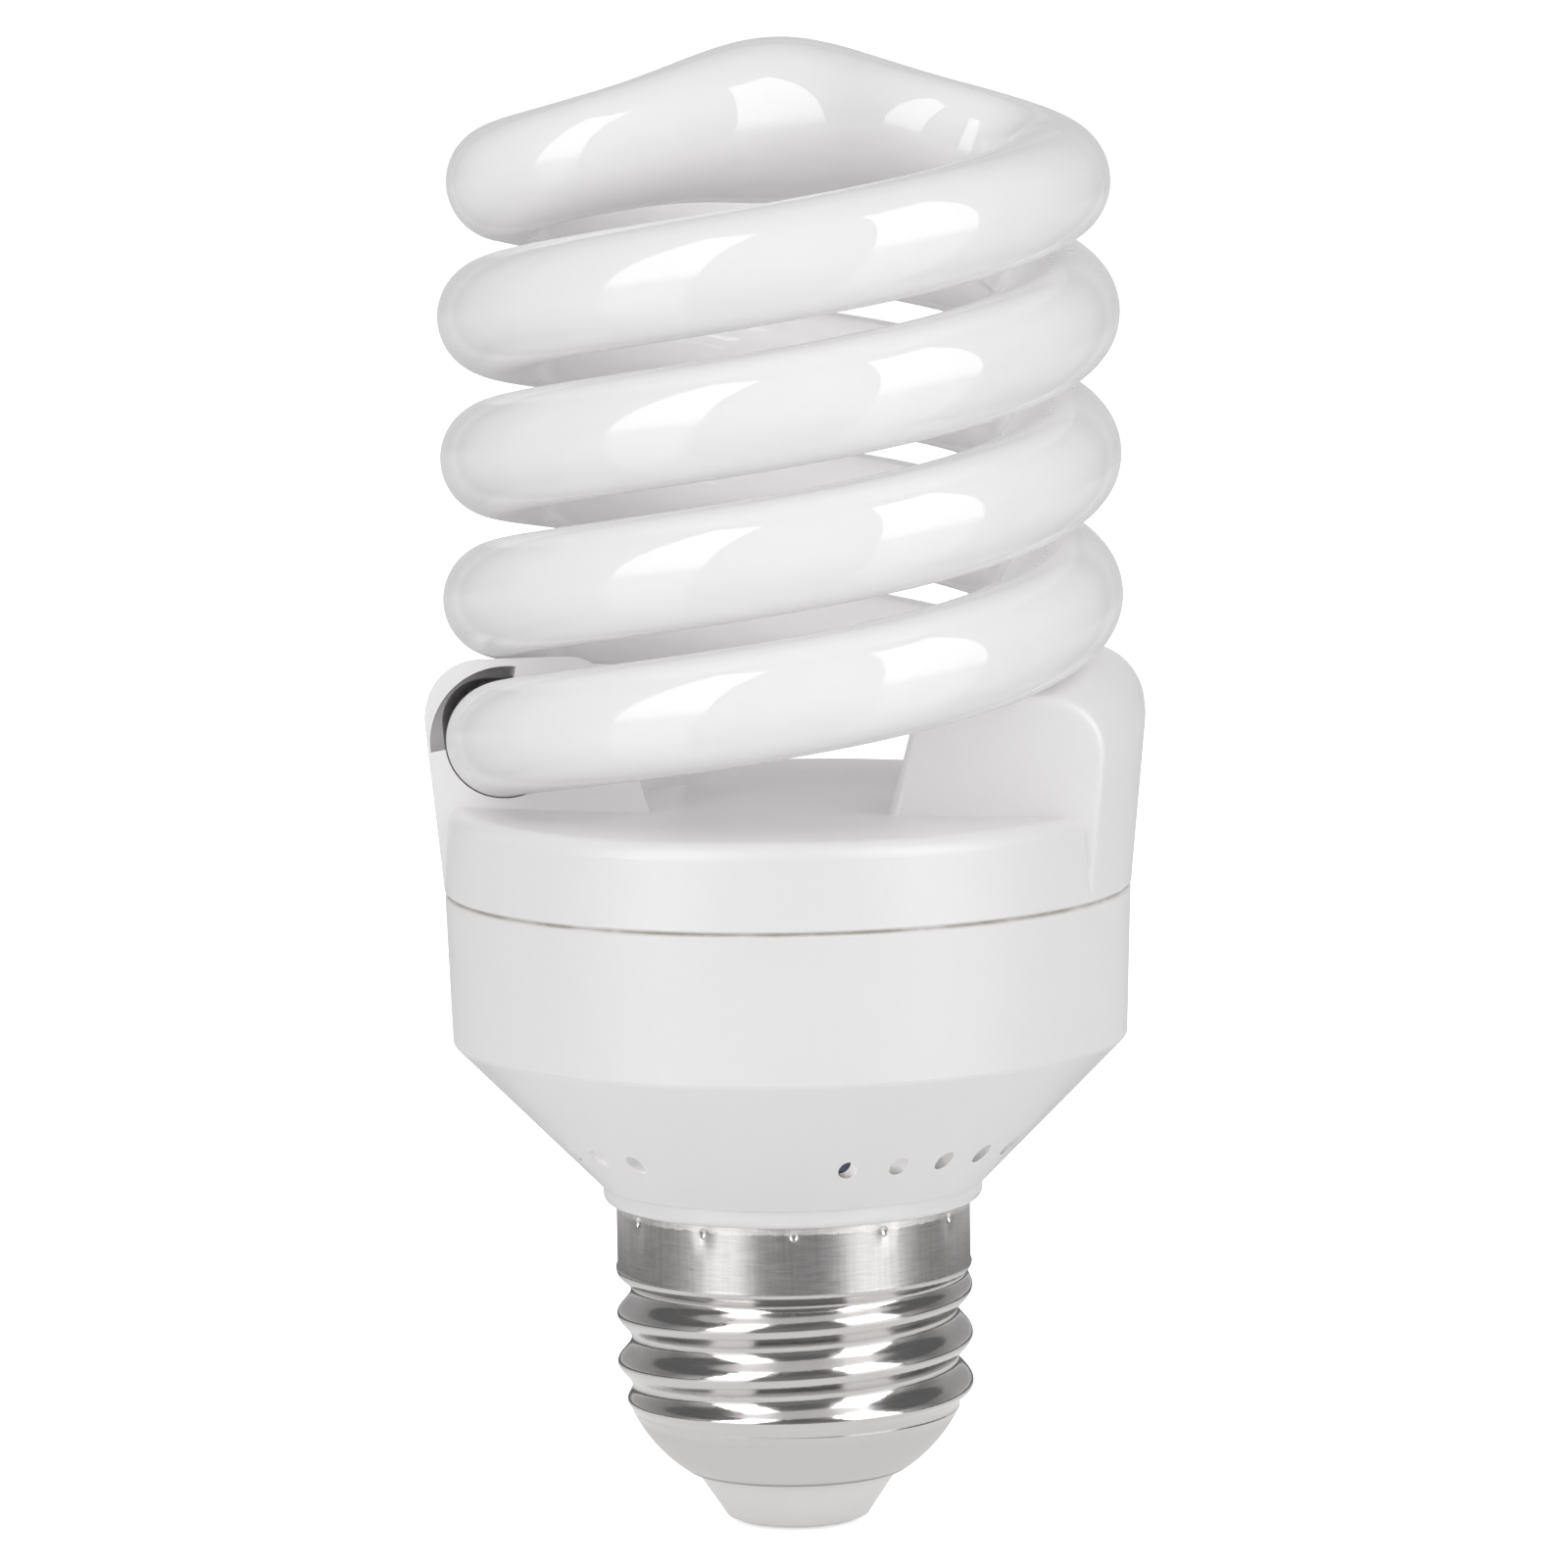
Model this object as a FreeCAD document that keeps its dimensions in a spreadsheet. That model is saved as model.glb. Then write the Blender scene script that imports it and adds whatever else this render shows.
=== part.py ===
import FreeCAD, Part
import math
import operator
import os
from types import SimpleNamespace

import Sketcher
from FreeCAD import Placement, Rotation, Vector

# A spiral lamp that stands on its screw cap, in millimetres.
# +Z runs from the cap to the top of the glass, and the origin is the centre of the contact's face.
# The viewer looks along +Y, so -Y is the front. The lamp looks the same after half a turn about Z.

UP = Vector(0, 0, 1)
ORIGIN = Vector(0, 0, 0)
HALF_TURN = Placement(ORIGIN, Rotation(UP, 180))

# Driving sizes: name, value, meaning. Lengths are in millimetres and angles in degrees.
SIZES = [
    ("spiral_radius", 20.72, "axis of the lamp to the centre line of the glass tube"),
    ("tube_radius", 4.257, "outside of the glass tube"),
    ("turn_gap", 1.864, "room between one turn of glass and the next"),
    ("tube_deck_gap", 0.483, "glass over the deck where it passes the side"),
    ("foot_angle", 157, "where a limb starts, counted round from +X"),
    ("leave_angle", 881, "where a limb leaves the spiral for the crossover"),
    ("crossover_rise", 3.75, "middle of the crossover over the spiral's last side pass"),
    ("crossover_swelling", 1.8, "how much fatter the glass is in the middle of the crossover"),
    ("crossover_focus", 4, "how closely the swelling keeps to the middle"),
    ("crossover_heading", 36, "way the glass points where it crosses the axis"),
    ("crossover_lead_out", 8, "how long the crossover keeps the spiral's way"),
    ("crossover_lead_in", 17, "how long it keeps its way through the axis"),
    ("crossover_climb", 0.6, "climb at the start of the crossover, as a share of the spiral's"),
    ("contact_radius", 3, "head of the centre contact"),
    ("contact_thickness", 0.5, "head of the centre contact"),
    ("contact_rounding", 0.15, "edge of the contact's head"),
    ("shank_radius", 1.2, "shank of the centre contact"),
    ("clench_radius", 1.9, "clenched end of the contact's shank"),
    ("clench_thickness", 0.4, "clenched end of the contact's shank"),
    ("fit_gap", 0.05, "room round a pressed or clamped piece"),
    ("insulator_foot", 0.2, "contact's face up to the insulator's foot"),
    ("insulator_foot_radius", 4.75, "flat foot of the insulator"),
    ("insulator_waist_radius", 5.3, "where the insulator's flank starts"),
    ("insulator_foot_rise", 0.25, "height of the rounded edge of the foot"),
    ("insulator_floor", 5.2, "floor that the contact is clenched on"),
    ("insulator_top", 6.6, "top of the insulator's rim"),
    ("insulator_rim_radius", 7.3, "outside of the insulator's rim"),
    ("insulator_well_radius", 5.5, "well inside the insulator's rim"),
    ("shell_sheet", 0.3, "sheet of the screw shell"),
    ("shell_rim_height", 4, "lower rim of the screw shell"),
    ("shell_rim_radius", 8.3, "lower rim of the screw shell"),
    ("bowl_bulge", 0.38, "how far the shell's bowl swells out from a straight cone"),
    ("thread_foot", 8.4, "where the thread starts"),
    ("thread_top", 19.3, "where the thread ends"),
    ("thread_pitch", 3.629, "pitch of the rolled thread"),
    ("thread_crest", 13.2, "radius over the crests"),
    ("thread_root", 12.15, "radius in the roots"),
    ("thread_mark", 13.9, "height at which a crest passes +X"),
    ("thread_fade_in", 1.5, "height over which the thread grows"),
    ("thread_fade_out", 1.5, "height over which the thread dies away"),
    ("skirt_radius", 13.1, "plain skirt over the thread"),
    ("skirt_top", 24.2, "upper rim of the skirt, under the housing's lip"),
    ("dimple_radius", 0.55, "ball that punches the skirt's dimples"),
    ("dimple_depth", 0.2, "depth of a punched dimple"),
    ("dimple_drop", 0.65, "centre of a dimple under the skirt's rim"),
    ("dimple_count", 12, "dimples round the skirt"),
    ("housing_wall", 1.5, "wall of the two plastic mouldings"),
    ("neck_length", 10, "neck of the housing under its lip"),
    ("neck_wall", 1.2, "wall of the neck inside the thread"),
    ("neck_gap", 0.15, "room between the neck and the roots of the thread"),
    ("neck_step_height", 0.8, "slope between the two radii of the neck"),
    ("neck_seat_height", 3.8, "seat of the skirt on the neck"),
    ("lip_overhang", 0.95, "lip beyond the skirt"),
    ("lip_height", 1.4, "lip from the skirt's rim to the cone"),
    ("lip_rounding", 0.65, "rounded lower edge of the lip"),
    ("cone_overhang", 0.2, "foot of the cone beyond the lip"),
    ("cone_height", 10.8, "cone of the housing"),
    ("belt_margin", 0.3, "belt at the seam beyond the glass"),
    ("belt_draft", 0.37, "how far the belt draws in down to the cone"),
    ("belt_rounding", 0.5, "edge between cone and belt"),
    ("belt_height", 11.1, "belt, from the cone to the seam"),
    ("seam_chamfer", 0.25, "bevel on both sides of the seam"),
    ("vent_radius", 0.7, "vent holes in the cone"),
    ("vent_height", 29.1, "row of vent holes"),
    ("vent_first_angle", 13, "first vent, counted from the front towards +X"),
    ("vent_span", 127, "first vent to last in one row"),
    ("vent_count", 11, "vents in one row"),
    ("board_gap", 0.5, "room between the board's edge and the belt"),
    ("board_thickness", 1.6, "circuit board"),
    ("board_drop", 3, "top of the board under the seam"),
    ("ledge_grip", 0.8, "how far the ledge reaches under the board"),
    ("ledge_height", 1, "thickness of the ledge at its edge"),
    ("catch_depth", 0.25, "snap ridge on the cover's spigot"),
    ("catch_height", 0.8, "snap ridge, foot to top"),
    ("catch_drop", 1.7, "middle of the snap ridge under the seam"),
    ("spigot_wall", 1.2, "spigot of the cover inside the belt"),
    ("spigot_gap", 0.12, "room between spigot and belt"),
    ("spigot_root", 1.2, "how far the spigot runs up inside the drum"),
    ("drum_overhang", 0.03, "drum of the cover beyond the belt at the seam"),
    ("drum_draft", 0.45, "how far the drum draws in up to the deck"),
    ("drum_height", 6.4, "seam to deck"),
    ("drum_rounding", 1.3, "edge of the deck"),
    ("deck_thickness", 1.5, "deck of the cover"),
    ("hood_top_gap", 0.2, "top of a hood under the turn of glass that passes over it"),
    ("hood_wall", 1.2, "wall of a hood"),
    ("hood_inner_reach", 4.6, "glass to the outside of a hood's inner wall, at the deck"),
    ("hood_inner_lean", 12, "lean of the inner wall"),
    ("hood_outer_lean", 5.6, "lean of the outer wall"),
    ("hood_inner_rounding", 3, "edge between top and inner wall"),
    ("hood_outer_rounding", 4.4, "edge between top and outer wall"),
    ("hood_edge_rounding", 0.8, "edges of the closed face"),
    ("hood_closed_offset", 8.9, "axis of the lamp to the closed face"),
    ("hood_closed_angle", 9.73, "turn of the closed face from the lamp's middle plane"),
    ("hood_open_offset", 9.29, "axis of the lamp to the open face"),
    ("hood_open_angle", 18.83, "turn of the open face from the lamp's middle plane"),
    ("tube_hole_gap", 0.1, "room round the glass in the open face"),
    ("relief_depth", 1.04, "room round the glass in the wider part of the tube hole"),
    ("relief_start", 81, "start of the wider part, seen from outside"),
    ("relief_span", 107, "sweep of the wider part"),
    ("leg_radius", 0.3, "wire legs of the parts on the board"),
    ("hole_gap", 0.1, "room round a leg in its hole in the board"),
    ("leg_stub", 0.8, "how far the legs stand out over the board"),
    ("leg_bend", 0.6, "bend of a leg, at the wire's middle"),
    ("standing_gap", 0.5, "parts that stand on their legs, under the board"),
    ("lying_gap", 0.25, "parts that lie along the board, under it"),
    ("part_rounding", 0.4, "edges of small moulded parts"),
    ("can_radius", 5, "smoothing capacitor"),
    ("can_length", 16, "smoothing capacitor"),
    ("can_offset", 5, "axis of the lamp to the capacitor"),
    ("can_pitch", 5, "leg to leg of the capacitor"),
    ("can_rounding", 0.6, "edges of the capacitor's can"),
    ("crimp_drop", 2, "top of the can down to its crimped groove"),
    ("crimp_depth", 0.4, "crimped groove of the can"),
    ("choke_offset", 10, "axis of the lamp to the choke"),
    ("core_drop", 1.3, "top of the choke's core under the board"),
    ("core_depth", 6, "choke core along X"),
    ("core_width", 13.2, "choke core along Y"),
    ("core_half", 6, "height of one half of the choke core"),
    ("core_back", 2.7, "back of a core half"),
    ("core_leg", 1.9, "outer legs of a core half"),
    ("core_middle_leg", 2.8, "middle leg of a core half"),
    ("core_split", 0.1, "gap between the core's halves"),
    ("bobbin_gap", 0.1, "room between the bobbin and the core"),
    ("bobbin_wall", 0.6, "wall of the bobbin"),
    ("winding_build", 2.2, "thickness of the choke's winding"),
    ("winding_rounding", 2, "corners of the choke's winding"),
    ("flange_lip", 0.2, "flanges of the bobbin beyond the winding"),
    ("choke_pin_row", 7.5, "pin to pin along a side of the bobbin"),
    ("choke_pin_depth", 3, "pins in the bobbin"),
    ("ring_x", -4, "middle of the drive transformer"),
    ("ring_y", 14, "middle of the drive transformer"),
    ("ring_outer", 5, "outside of the drive transformer's ring"),
    ("ring_inner", 2.5, "hole of the ring"),
    ("ring_height", 4, "height of the ring"),
    ("ring_rounding", 0.4, "edges of the ring"),
    ("coil_wire", 0.2, "wire round the ring"),
    ("coil_gap", 0.05, "room between the wire and the ring"),
    ("turn_step", 15, "one turn of wire to the next round the ring"),
    ("drive_start", 30, "first turn of the long winding, round from +X"),
    ("drive_turns", 9, "turns of the long winding"),
    ("side_start", 190, "first turn of the first short winding"),
    ("side_turns", 3, "turns of each short winding"),
    ("other_side_start", 290, "first turn of the second short winding"),
    ("transistor_x", 7, "middle of the transistors"),
    ("transistor_y", 9, "middle of the transistors, one on each side"),
    ("transistor_width", 7.6, "body of a transistor"),
    ("transistor_depth", 2.7, "body of a transistor"),
    ("transistor_height", 10.8, "body of a transistor"),
    ("transistor_drop", 2, "body of a transistor under the board"),
    ("tab_hole_radius", 1.6, "screw hole in a transistor"),
    ("tab_hole_rise", 2.9, "screw hole over the transistor's lower end"),
    ("transistor_pitch", 2.29, "leg to leg of a transistor"),
    ("flat_leg_width", 0.7, "legs of a transistor"),
    ("flat_leg_depth", 0.5, "legs of a transistor"),
    ("diode_radius", 1.35, "body of a diode"),
    ("diode_length", 5.2, "body of a diode"),
    ("diode_pitch", 8.8, "leg to leg of a diode"),
    ("diode_first_x", -9.5, "first of the row of diodes"),
    ("diode_step", 3.5, "one diode to the next"),
    ("diode_count", 4, "diodes in the row"),
    ("diode_y", -14.5, "row of diodes"),
    ("resistor_radius", 1.15, "body of a resistor"),
    ("resistor_length", 6.3, "body of a resistor"),
    ("resistor_pitch", 8.4, "leg to leg of a resistor"),
    ("first_resistor_x", 8.2, "resistor beside the row of diodes"),
    ("first_resistor_y", -16, "resistor beside the row of diodes"),
    ("second_resistor_x", -15.2, "resistor beside the choke"),
    ("second_resistor_y", -8.9, "resistor beside the choke"),
    ("third_resistor_x", -18.5, "resistor behind the choke"),
    ("third_resistor_y", -2.7, "resistor behind the choke"),
    ("trigger_radius", 0.95, "body of the trigger diode"),
    ("trigger_length", 3.8, "body of the trigger diode"),
    ("trigger_pitch", 6.4, "leg to leg of the trigger diode"),
    ("trigger_x", -14.9, "middle of the trigger diode"),
    ("trigger_y", -11.6, "middle of the trigger diode"),
    ("inductor_radius", 3, "mains filter inductor"),
    ("inductor_length", 8, "mains filter inductor"),
    ("inductor_x", 14.5, "middle of the inductor"),
    ("inductor_pitch", 3, "leg to leg of the inductor"),
    ("film_x", 14, "middle of the two large film capacitors"),
    ("film_y", 9.5, "middle of the two large film capacitors"),
    ("film_thickness", 4, "large film capacitor"),
    ("film_length", 10, "large film capacitor"),
    ("film_height", 6.5, "large film capacitor"),
    ("film_pitch", 7.5, "leg to leg of a large film capacitor"),
    ("snubber_x", -14.5, "middle of the small film capacitor"),
    ("snubber_y", 11.5, "middle of the small film capacitor"),
    ("snubber_length", 7, "small film capacitor"),
    ("snubber_thickness", 3, "small film capacitor"),
    ("snubber_height", 5.5, "small film capacitor"),
    ("snubber_pitch", 5, "leg to leg of the small film capacitor"),
    ("thermistor_x", 5, "middle of the thermistor"),
    ("thermistor_y", 15.5, "middle of the thermistor"),
    ("thermistor_radius", 3, "disc of the thermistor"),
    ("thermistor_thickness", 2.4, "disc of the thermistor"),
    ("thermistor_pitch", 5, "leg to leg of the thermistor"),
    ("fuse_offset", 2, "axis of the lamp to the fusible resistor"),
    ("fuse_radius", 1.5, "fusible resistor"),
    ("fuse_length", 9, "fusible resistor"),
    ("fuse_foot", 14, "lower end of the fusible resistor"),
    ("live_wire_radius", 0.5, "wire from the contact"),
    ("live_wire_bend", 1, "bends of the wire from the contact"),
    ("neutral_wire_radius", 0.3, "wire from the screw shell"),
    ("neutral_wire_bend", 0.6, "bends of the wire from the screw shell"),
    ("wire_notch_width", 1.2, "notch in the neck for the wire"),
    ("wire_notch_gap", 0.1, "room behind the wire in its notch"),
    ("wire_top", 23, "end of the wire between neck and skirt"),
    ("wire_foot_gap", 0.5, "wire under the foot of the neck"),
    ("wire_bore_gap", 0.6, "wire inside the neck"),
    ("wire_board_y", 7, "where the wire from the shell meets the board"),
    ("pin_side", 0.8, "square wrap pins"),
    ("pin_ring", 19, "axis of the lamp to the pins"),
    ("near_pin_angle", 171, "pin under the end of the tube, round from +X"),
    ("far_pin_angle", 143, "pin behind the end of the tube"),
    ("pin_height", 5, "pins over the board"),
    ("pin_stub", 0.3, "pins under the board"),
    ("lead_wire_radius", 0.2, "wires from the tube"),
    ("lead_wire_bend", 0.6, "bends of the wires from the tube"),
    ("lead_spread", 3, "wire to wire in the end of the tube"),
    ("lead_out", 1.6, "straight stretch of a wire out of the tube"),
    ("lead_floor", 6.5, "height over the board at which the wires turn to the pins"),
    ("wrap_turns", 3, "turns of a wire round its pin"),
    ("wrap_pitch", 0.45, "turn to turn round a pin"),
    ("wrap_drop", 0.8, "first turn under the top of the pin"),
    ("cement_start", 2, "cement behind the end of the tube, round the lamp's axis"),
    ("cement_span", 9, "bed of cement, round the lamp's axis"),
    ("cement_depth", 1.7, "cement round the glass"),
]

document = FreeCAD.newDocument("spiral_lamp")
sheet = document.addObject("Spreadsheet::Sheet", "Sizes")
nodes = {}


class Size:
    """A number together with the sheet formula that gives it."""

    def __init__(self, number, formula):
        self.number = float(number)
        self.formula = formula

    def __float__(self):
        return self.number

    def __add__(self, other):
        return combined(self, "+", other)

    def __radd__(self, other):
        return combined(other, "+", self)

    def __sub__(self, other):
        return combined(self, "-", other)

    def __rsub__(self, other):
        return combined(other, "-", self)

    def __mul__(self, other):
        return combined(self, "*", other)

    def __rmul__(self, other):
        return combined(other, "*", self)

    def __truediv__(self, other):
        return combined(self, "/", other)

    def __rtruediv__(self, other):
        return combined(other, "/", self)

    def __neg__(self):
        return combined(0, "-", self)


ACTIONS = {"+": operator.add, "-": operator.sub, "*": operator.mul, "/": operator.truediv}


def formula_of(item):
    return item.formula if isinstance(item, Size) else repr(float(item))


def combined(first, sign, second):
    number = ACTIONS[sign](float(first), float(second))
    return Size(number, "(%s %s %s)" % (formula_of(first), sign, formula_of(second)))


def tangent(angle):
    return Size(math.tan(math.radians(float(angle))), "tan(%s)" % formula_of(angle))


def cosine(angle):
    return Size(math.cos(math.radians(float(angle))), "cos(%s)" % formula_of(angle))


def sine(angle):
    return Size(math.sin(math.radians(float(angle))), "sin(%s)" % formula_of(angle))


def arctangent(item):
    return Size(math.degrees(math.atan(float(item))), "atan(%s)" % formula_of(item))


def root(item):
    return Size(math.sqrt(float(item)), "sqrt(%s)" % formula_of(item))


def fill_sheet():
    """Write the sizes to the sheet and return them as formulas and as plain numbers."""
    formulas = SimpleNamespace()
    numbers = SimpleNamespace()
    for row, (name, value, meaning) in enumerate(SIZES, 1):
        sheet.set("A%d" % row, meaning)
        sheet.set("B%d" % row, str(value))
        sheet.setAlias("B%d" % row, name)
        setattr(formulas, name, Size(value, "Sizes." + name))
        setattr(numbers, name, float(value))
    document.recompute()
    return formulas, numbers


size, plain = fill_sheet()


def bind(thing, **values):
    """Set properties, and tie each one that is a Size to the sheet."""
    for name, value in values.items():
        if isinstance(value, Size):
            thing.setExpression(name, value.formula)
        else:
            setattr(thing, name, value)


def place(thing, x=0, y=0, z=0):
    for axis, value in (("x", x), ("y", y), ("z", z)):
        thing.setExpression("Placement.Base." + axis, formula_of(value))


def node(label, thing):
    """Give a finished piece the name that its file gets."""
    thing.Label = label
    nodes[label] = thing
    return thing


# Sketches


def pin(sketch, line, corner):
    """Hold the start of a line at a corner given by two sizes."""
    for kind, axis, value in (("DistanceX", -2, corner[0]), ("DistanceY", -1, corner[1])):
        if float(value) == 0:
            sketch.addConstraint(Sketcher.Constraint("PointOnObject", line, 1, axis))
        else:
            rule = Sketcher.Constraint(kind, line, 1, float(value))
            number = sketch.addConstraint(rule)
            sketch.setExpression("Constraints[%d]" % number, formula_of(value))


def draw_outline(sketch, corners):
    """Draw a closed outline through corners, each held by its own sizes."""
    points = [Vector(float(x), float(y), 0) for x, y in corners]
    count = len(points)
    for line in range(count):
        sketch.addGeometry(Part.LineSegment(points[line], points[(line + 1) % count]), False)
    for line in range(count):
        following = (line + 1) % count
        sketch.addConstraint(Sketcher.Constraint("Coincident", line, 2, following, 1))
        pin(sketch, line, corners[line])


def draw_circle(sketch, radius, x, y):
    centre = Vector(float(x), float(y), 0)
    circle = sketch.addGeometry(Part.Circle(centre, UP, float(radius)), False)
    for kind, axis, value in (("DistanceX", -2, x), ("DistanceY", -1, y)):
        if float(value) == 0:
            sketch.addConstraint(Sketcher.Constraint("PointOnObject", circle, 3, axis))
        else:
            number = sketch.addConstraint(Sketcher.Constraint(kind, circle, 3, float(value)))
            sketch.setExpression("Constraints[%d]" % number, formula_of(value))
    number = sketch.addConstraint(Sketcher.Constraint("Radius", circle, float(radius)))
    sketch.setExpression("Constraints[%d]" % number, formula_of(radius))


def origin_plane(body, role):
    return [plane for plane in body.Origin.OriginFeatures if plane.Role == role][0]


def body_sketch(body, role, name):
    """A sketch on one of the body's own planes."""
    sketch = body.newObject("Sketcher::SketchObject", name)
    sketch.AttachmentSupport = (origin_plane(body, role), [""])
    sketch.MapMode = "FlatFace"
    return sketch


def turned_body(name, corners):
    """A body revolved about the lamp's axis from corners of (radius, height)."""
    body = document.addObject("PartDesign::Body", name)
    sketch = body_sketch(body, "XZ_Plane", name + "_section")
    draw_outline(sketch, corners)
    turn = body.newObject("PartDesign::Revolution", name + "_turn")
    turn.Profile = sketch
    turn.ReferenceAxis = (sketch, ["V_Axis"])
    turn.Angle = 360
    document.recompute()
    return body


def ring_edges(shape, rings):
    """Names of the round edges that lie at the given (radius, height) places."""
    names = []
    for number, edge in enumerate(shape.Edges, 1):
        if not isinstance(edge.Curve, Part.Circle):
            continue
        here = (edge.Curve.Radius, edge.Curve.Center.z)
        if any(math.dist(here, (float(r), float(z))) < 0.01 for r, z in rings):
            names.append("Edge%d" % number)
    return names


def round_rings(body, radius, *rings):
    """Fillet the turned edges that lie at the given (radius, height) places."""
    names = ring_edges(body.Tip.Shape, rings)
    if len(names) != len(rings):
        raise RuntimeError("edges of %s: %d, wanted %d" % (body.Name, len(names), len(rings)))
    base = body.Tip
    fillet = body.newObject("PartDesign::Fillet", body.Name + "_rounding")
    fillet.Base = (base, names)
    bind(fillet, Radius=radius)
    document.recompute()


def section_sketch(name, corners):
    """A free sketch of (radius, height) corners that stands in the XZ plane."""
    sketch = document.addObject("Sketcher::SketchObject", name)
    sketch.Placement = Placement(ORIGIN, Rotation(Vector(1, 0, 0), 90))
    draw_outline(sketch, corners)
    return sketch


# Plain solids and booleans


def joined(name, parts):
    union = document.addObject("Part::MultiFuse", name)
    union.Shapes = parts
    return union


def cut(name, base, tool):
    difference = document.addObject("Part::Cut", name)
    difference.Base = base
    difference.Tool = tool
    return difference


def common(name, first, second):
    shared = document.addObject("Part::Common", name)
    shared.Base = first
    shared.Tool = second
    return shared


def feature(name, shape, placement=Placement()):
    thing = document.addObject("Part::Feature", name)
    thing.Shape = shape
    thing.Placement = placement
    return thing


# Sizes that follow from others

spiral_rise = (size.tube_radius * 2 + size.turn_gap) * 2
tube_above_deck = size.tube_radius + size.tube_deck_gap
belt_radius = size.spiral_radius + size.tube_radius + size.belt_margin
belt_foot_radius = belt_radius - size.belt_draft
drum_radius = belt_radius + size.drum_overhang
drum_top_radius = drum_radius - size.drum_draft
hood_inner_radius = size.spiral_radius - size.tube_radius - size.hood_inner_reach
neck_radius = size.thread_root - size.shell_sheet - size.neck_gap
neck_bore = neck_radius - size.neck_wall
neck_seat_radius = size.skirt_radius - size.shell_sheet - size.fit_gap
lip_radius = size.skirt_radius + size.lip_overhang
cone_foot_radius = lip_radius + size.cone_overhang

# Heights that more than one piece uses

cone_foot = size.skirt_top + size.lip_height
neck_foot = size.skirt_top - size.neck_length
belt_foot = cone_foot + size.cone_height
seam = belt_foot + size.belt_height
deck = seam + size.drum_height
board_top = seam - size.board_drop
board_foot = board_top - size.board_thickness

# Inside of the belt, where the board and the spigot go
belt_bore = belt_radius - size.housing_wall
board_radius = belt_bore - size.board_gap
ledge_radius = board_radius - size.ledge_grip

# A hood's top runs along under the glass: its slope, and its height over the deck at the middle
hood_slope = arctangent(spiral_rise / (size.spiral_radius * 2 * math.pi))
hood_height = tube_above_deck + spiral_rise / 2 - size.tube_radius - size.hood_top_gap


# Centre contact, an eyelet clenched through the insulator


def make_contact():
    clench_foot = size.insulator_floor
    body = turned_body("centre_contact_body", [
        (0, 0),
        (size.contact_radius, 0),
        (size.contact_radius, size.contact_thickness),
        (size.shank_radius, size.contact_thickness),
        (size.shank_radius, clench_foot),
        (size.clench_radius, clench_foot),
        (size.clench_radius, clench_foot + size.clench_thickness),
        (0, clench_foot + size.clench_thickness),
    ])
    round_rings(body, size.contact_rounding, (size.contact_radius, 0))
    node("centre_contact", body)


# Insulator, which fills the foot of the shell and carries the contact


def make_insulator():
    foot = size.insulator_foot
    flank_foot = foot + size.insulator_foot_rise
    shoulder = size.shell_rim_height
    bowl_run = size.thread_root - size.shell_rim_radius
    bowl_climb = size.thread_foot - size.shell_rim_height
    bowl_lean = bowl_run / bowl_climb
    bowl_chord = root(bowl_run * bowl_run + bowl_climb * bowl_climb)
    rim_lean = arctangent(bowl_lean) + arctangent(size.bowl_bulge * 2 / bowl_chord) * 2
    shoulder_radius = size.shell_rim_radius - (size.shell_sheet + size.fit_gap) / cosine(rim_lean)
    floor = size.insulator_floor
    body = turned_body("cap_insulator_body", [
        (size.contact_radius + size.fit_gap, foot),
        (size.insulator_foot_radius, foot),
        (size.insulator_waist_radius, flank_foot),
        (shoulder_radius, shoulder),
        (shoulder_radius + (floor - shoulder) * bowl_lean, floor),
        (size.insulator_rim_radius, size.insulator_top),
        (size.insulator_well_radius, size.insulator_top),
        (size.insulator_well_radius, floor),
        (size.shank_radius + size.fit_gap, floor),
        (size.shank_radius + size.fit_gap, size.contact_thickness),
        (size.contact_radius + size.fit_gap, size.contact_thickness),
    ])
    node("cap_insulator", body)


# Screw shell, sheet metal rolled into a knuckle thread


def smooth(share):
    share = min(1.0, max(0.0, share))
    return share * share * (3 - 2 * share)


def thread_circle(height, inset):
    """One level section of the thread: a circle that runs round the axis as it climbs."""
    turn = 2 * math.pi * (height - plain.thread_mark) / plain.thread_pitch
    depth = (plain.thread_crest - plain.thread_root) / 2
    growing = smooth((height - plain.thread_foot) / plain.thread_fade_in)
    dying = smooth((plain.thread_top - height) / plain.thread_fade_out)
    offset = depth * min(growing, dying)
    if growing < dying:
        radius = plain.thread_root + offset
    else:
        radius = plain.thread_crest - offset
    centre = Vector(offset * math.cos(turn), offset * math.sin(turn), height)
    return Part.Wire(Part.makeCircle(radius - inset, centre, UP))


def bowl_solid(inset):
    """The bowl between the shell's lower rim and its thread."""
    low = Vector(plain.shell_rim_radius, 0, plain.shell_rim_height)
    high = Vector(plain.thread_root, 0, plain.thread_foot)
    outwards = (high - low).cross(Vector(0, 1, 0)).normalize() * -1
    middle = (low + high) / 2 + outwards * plain.bowl_bulge
    curve = Part.Arc(low, middle, high).toShape().Curve
    centre = curve.Center
    radius = curve.Radius - inset

    def on_arc(height):
        return centre.x + math.sqrt(radius ** 2 - (height - centre.z) ** 2)

    points = [Vector(on_arc(z), 0, z) for z in (low.z, middle.z, high.z)]
    edges = [
        Part.Arc(*points).toShape(),
        Part.LineSegment(points[2], Vector(0, 0, high.z)).toShape(),
        Part.LineSegment(Vector(0, 0, high.z), Vector(0, 0, low.z)).toShape(),
        Part.LineSegment(Vector(0, 0, low.z), points[0]).toShape(),
    ]
    return Part.Face(Part.Wire(edges)).revolve(ORIGIN, UP, 360)


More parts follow.
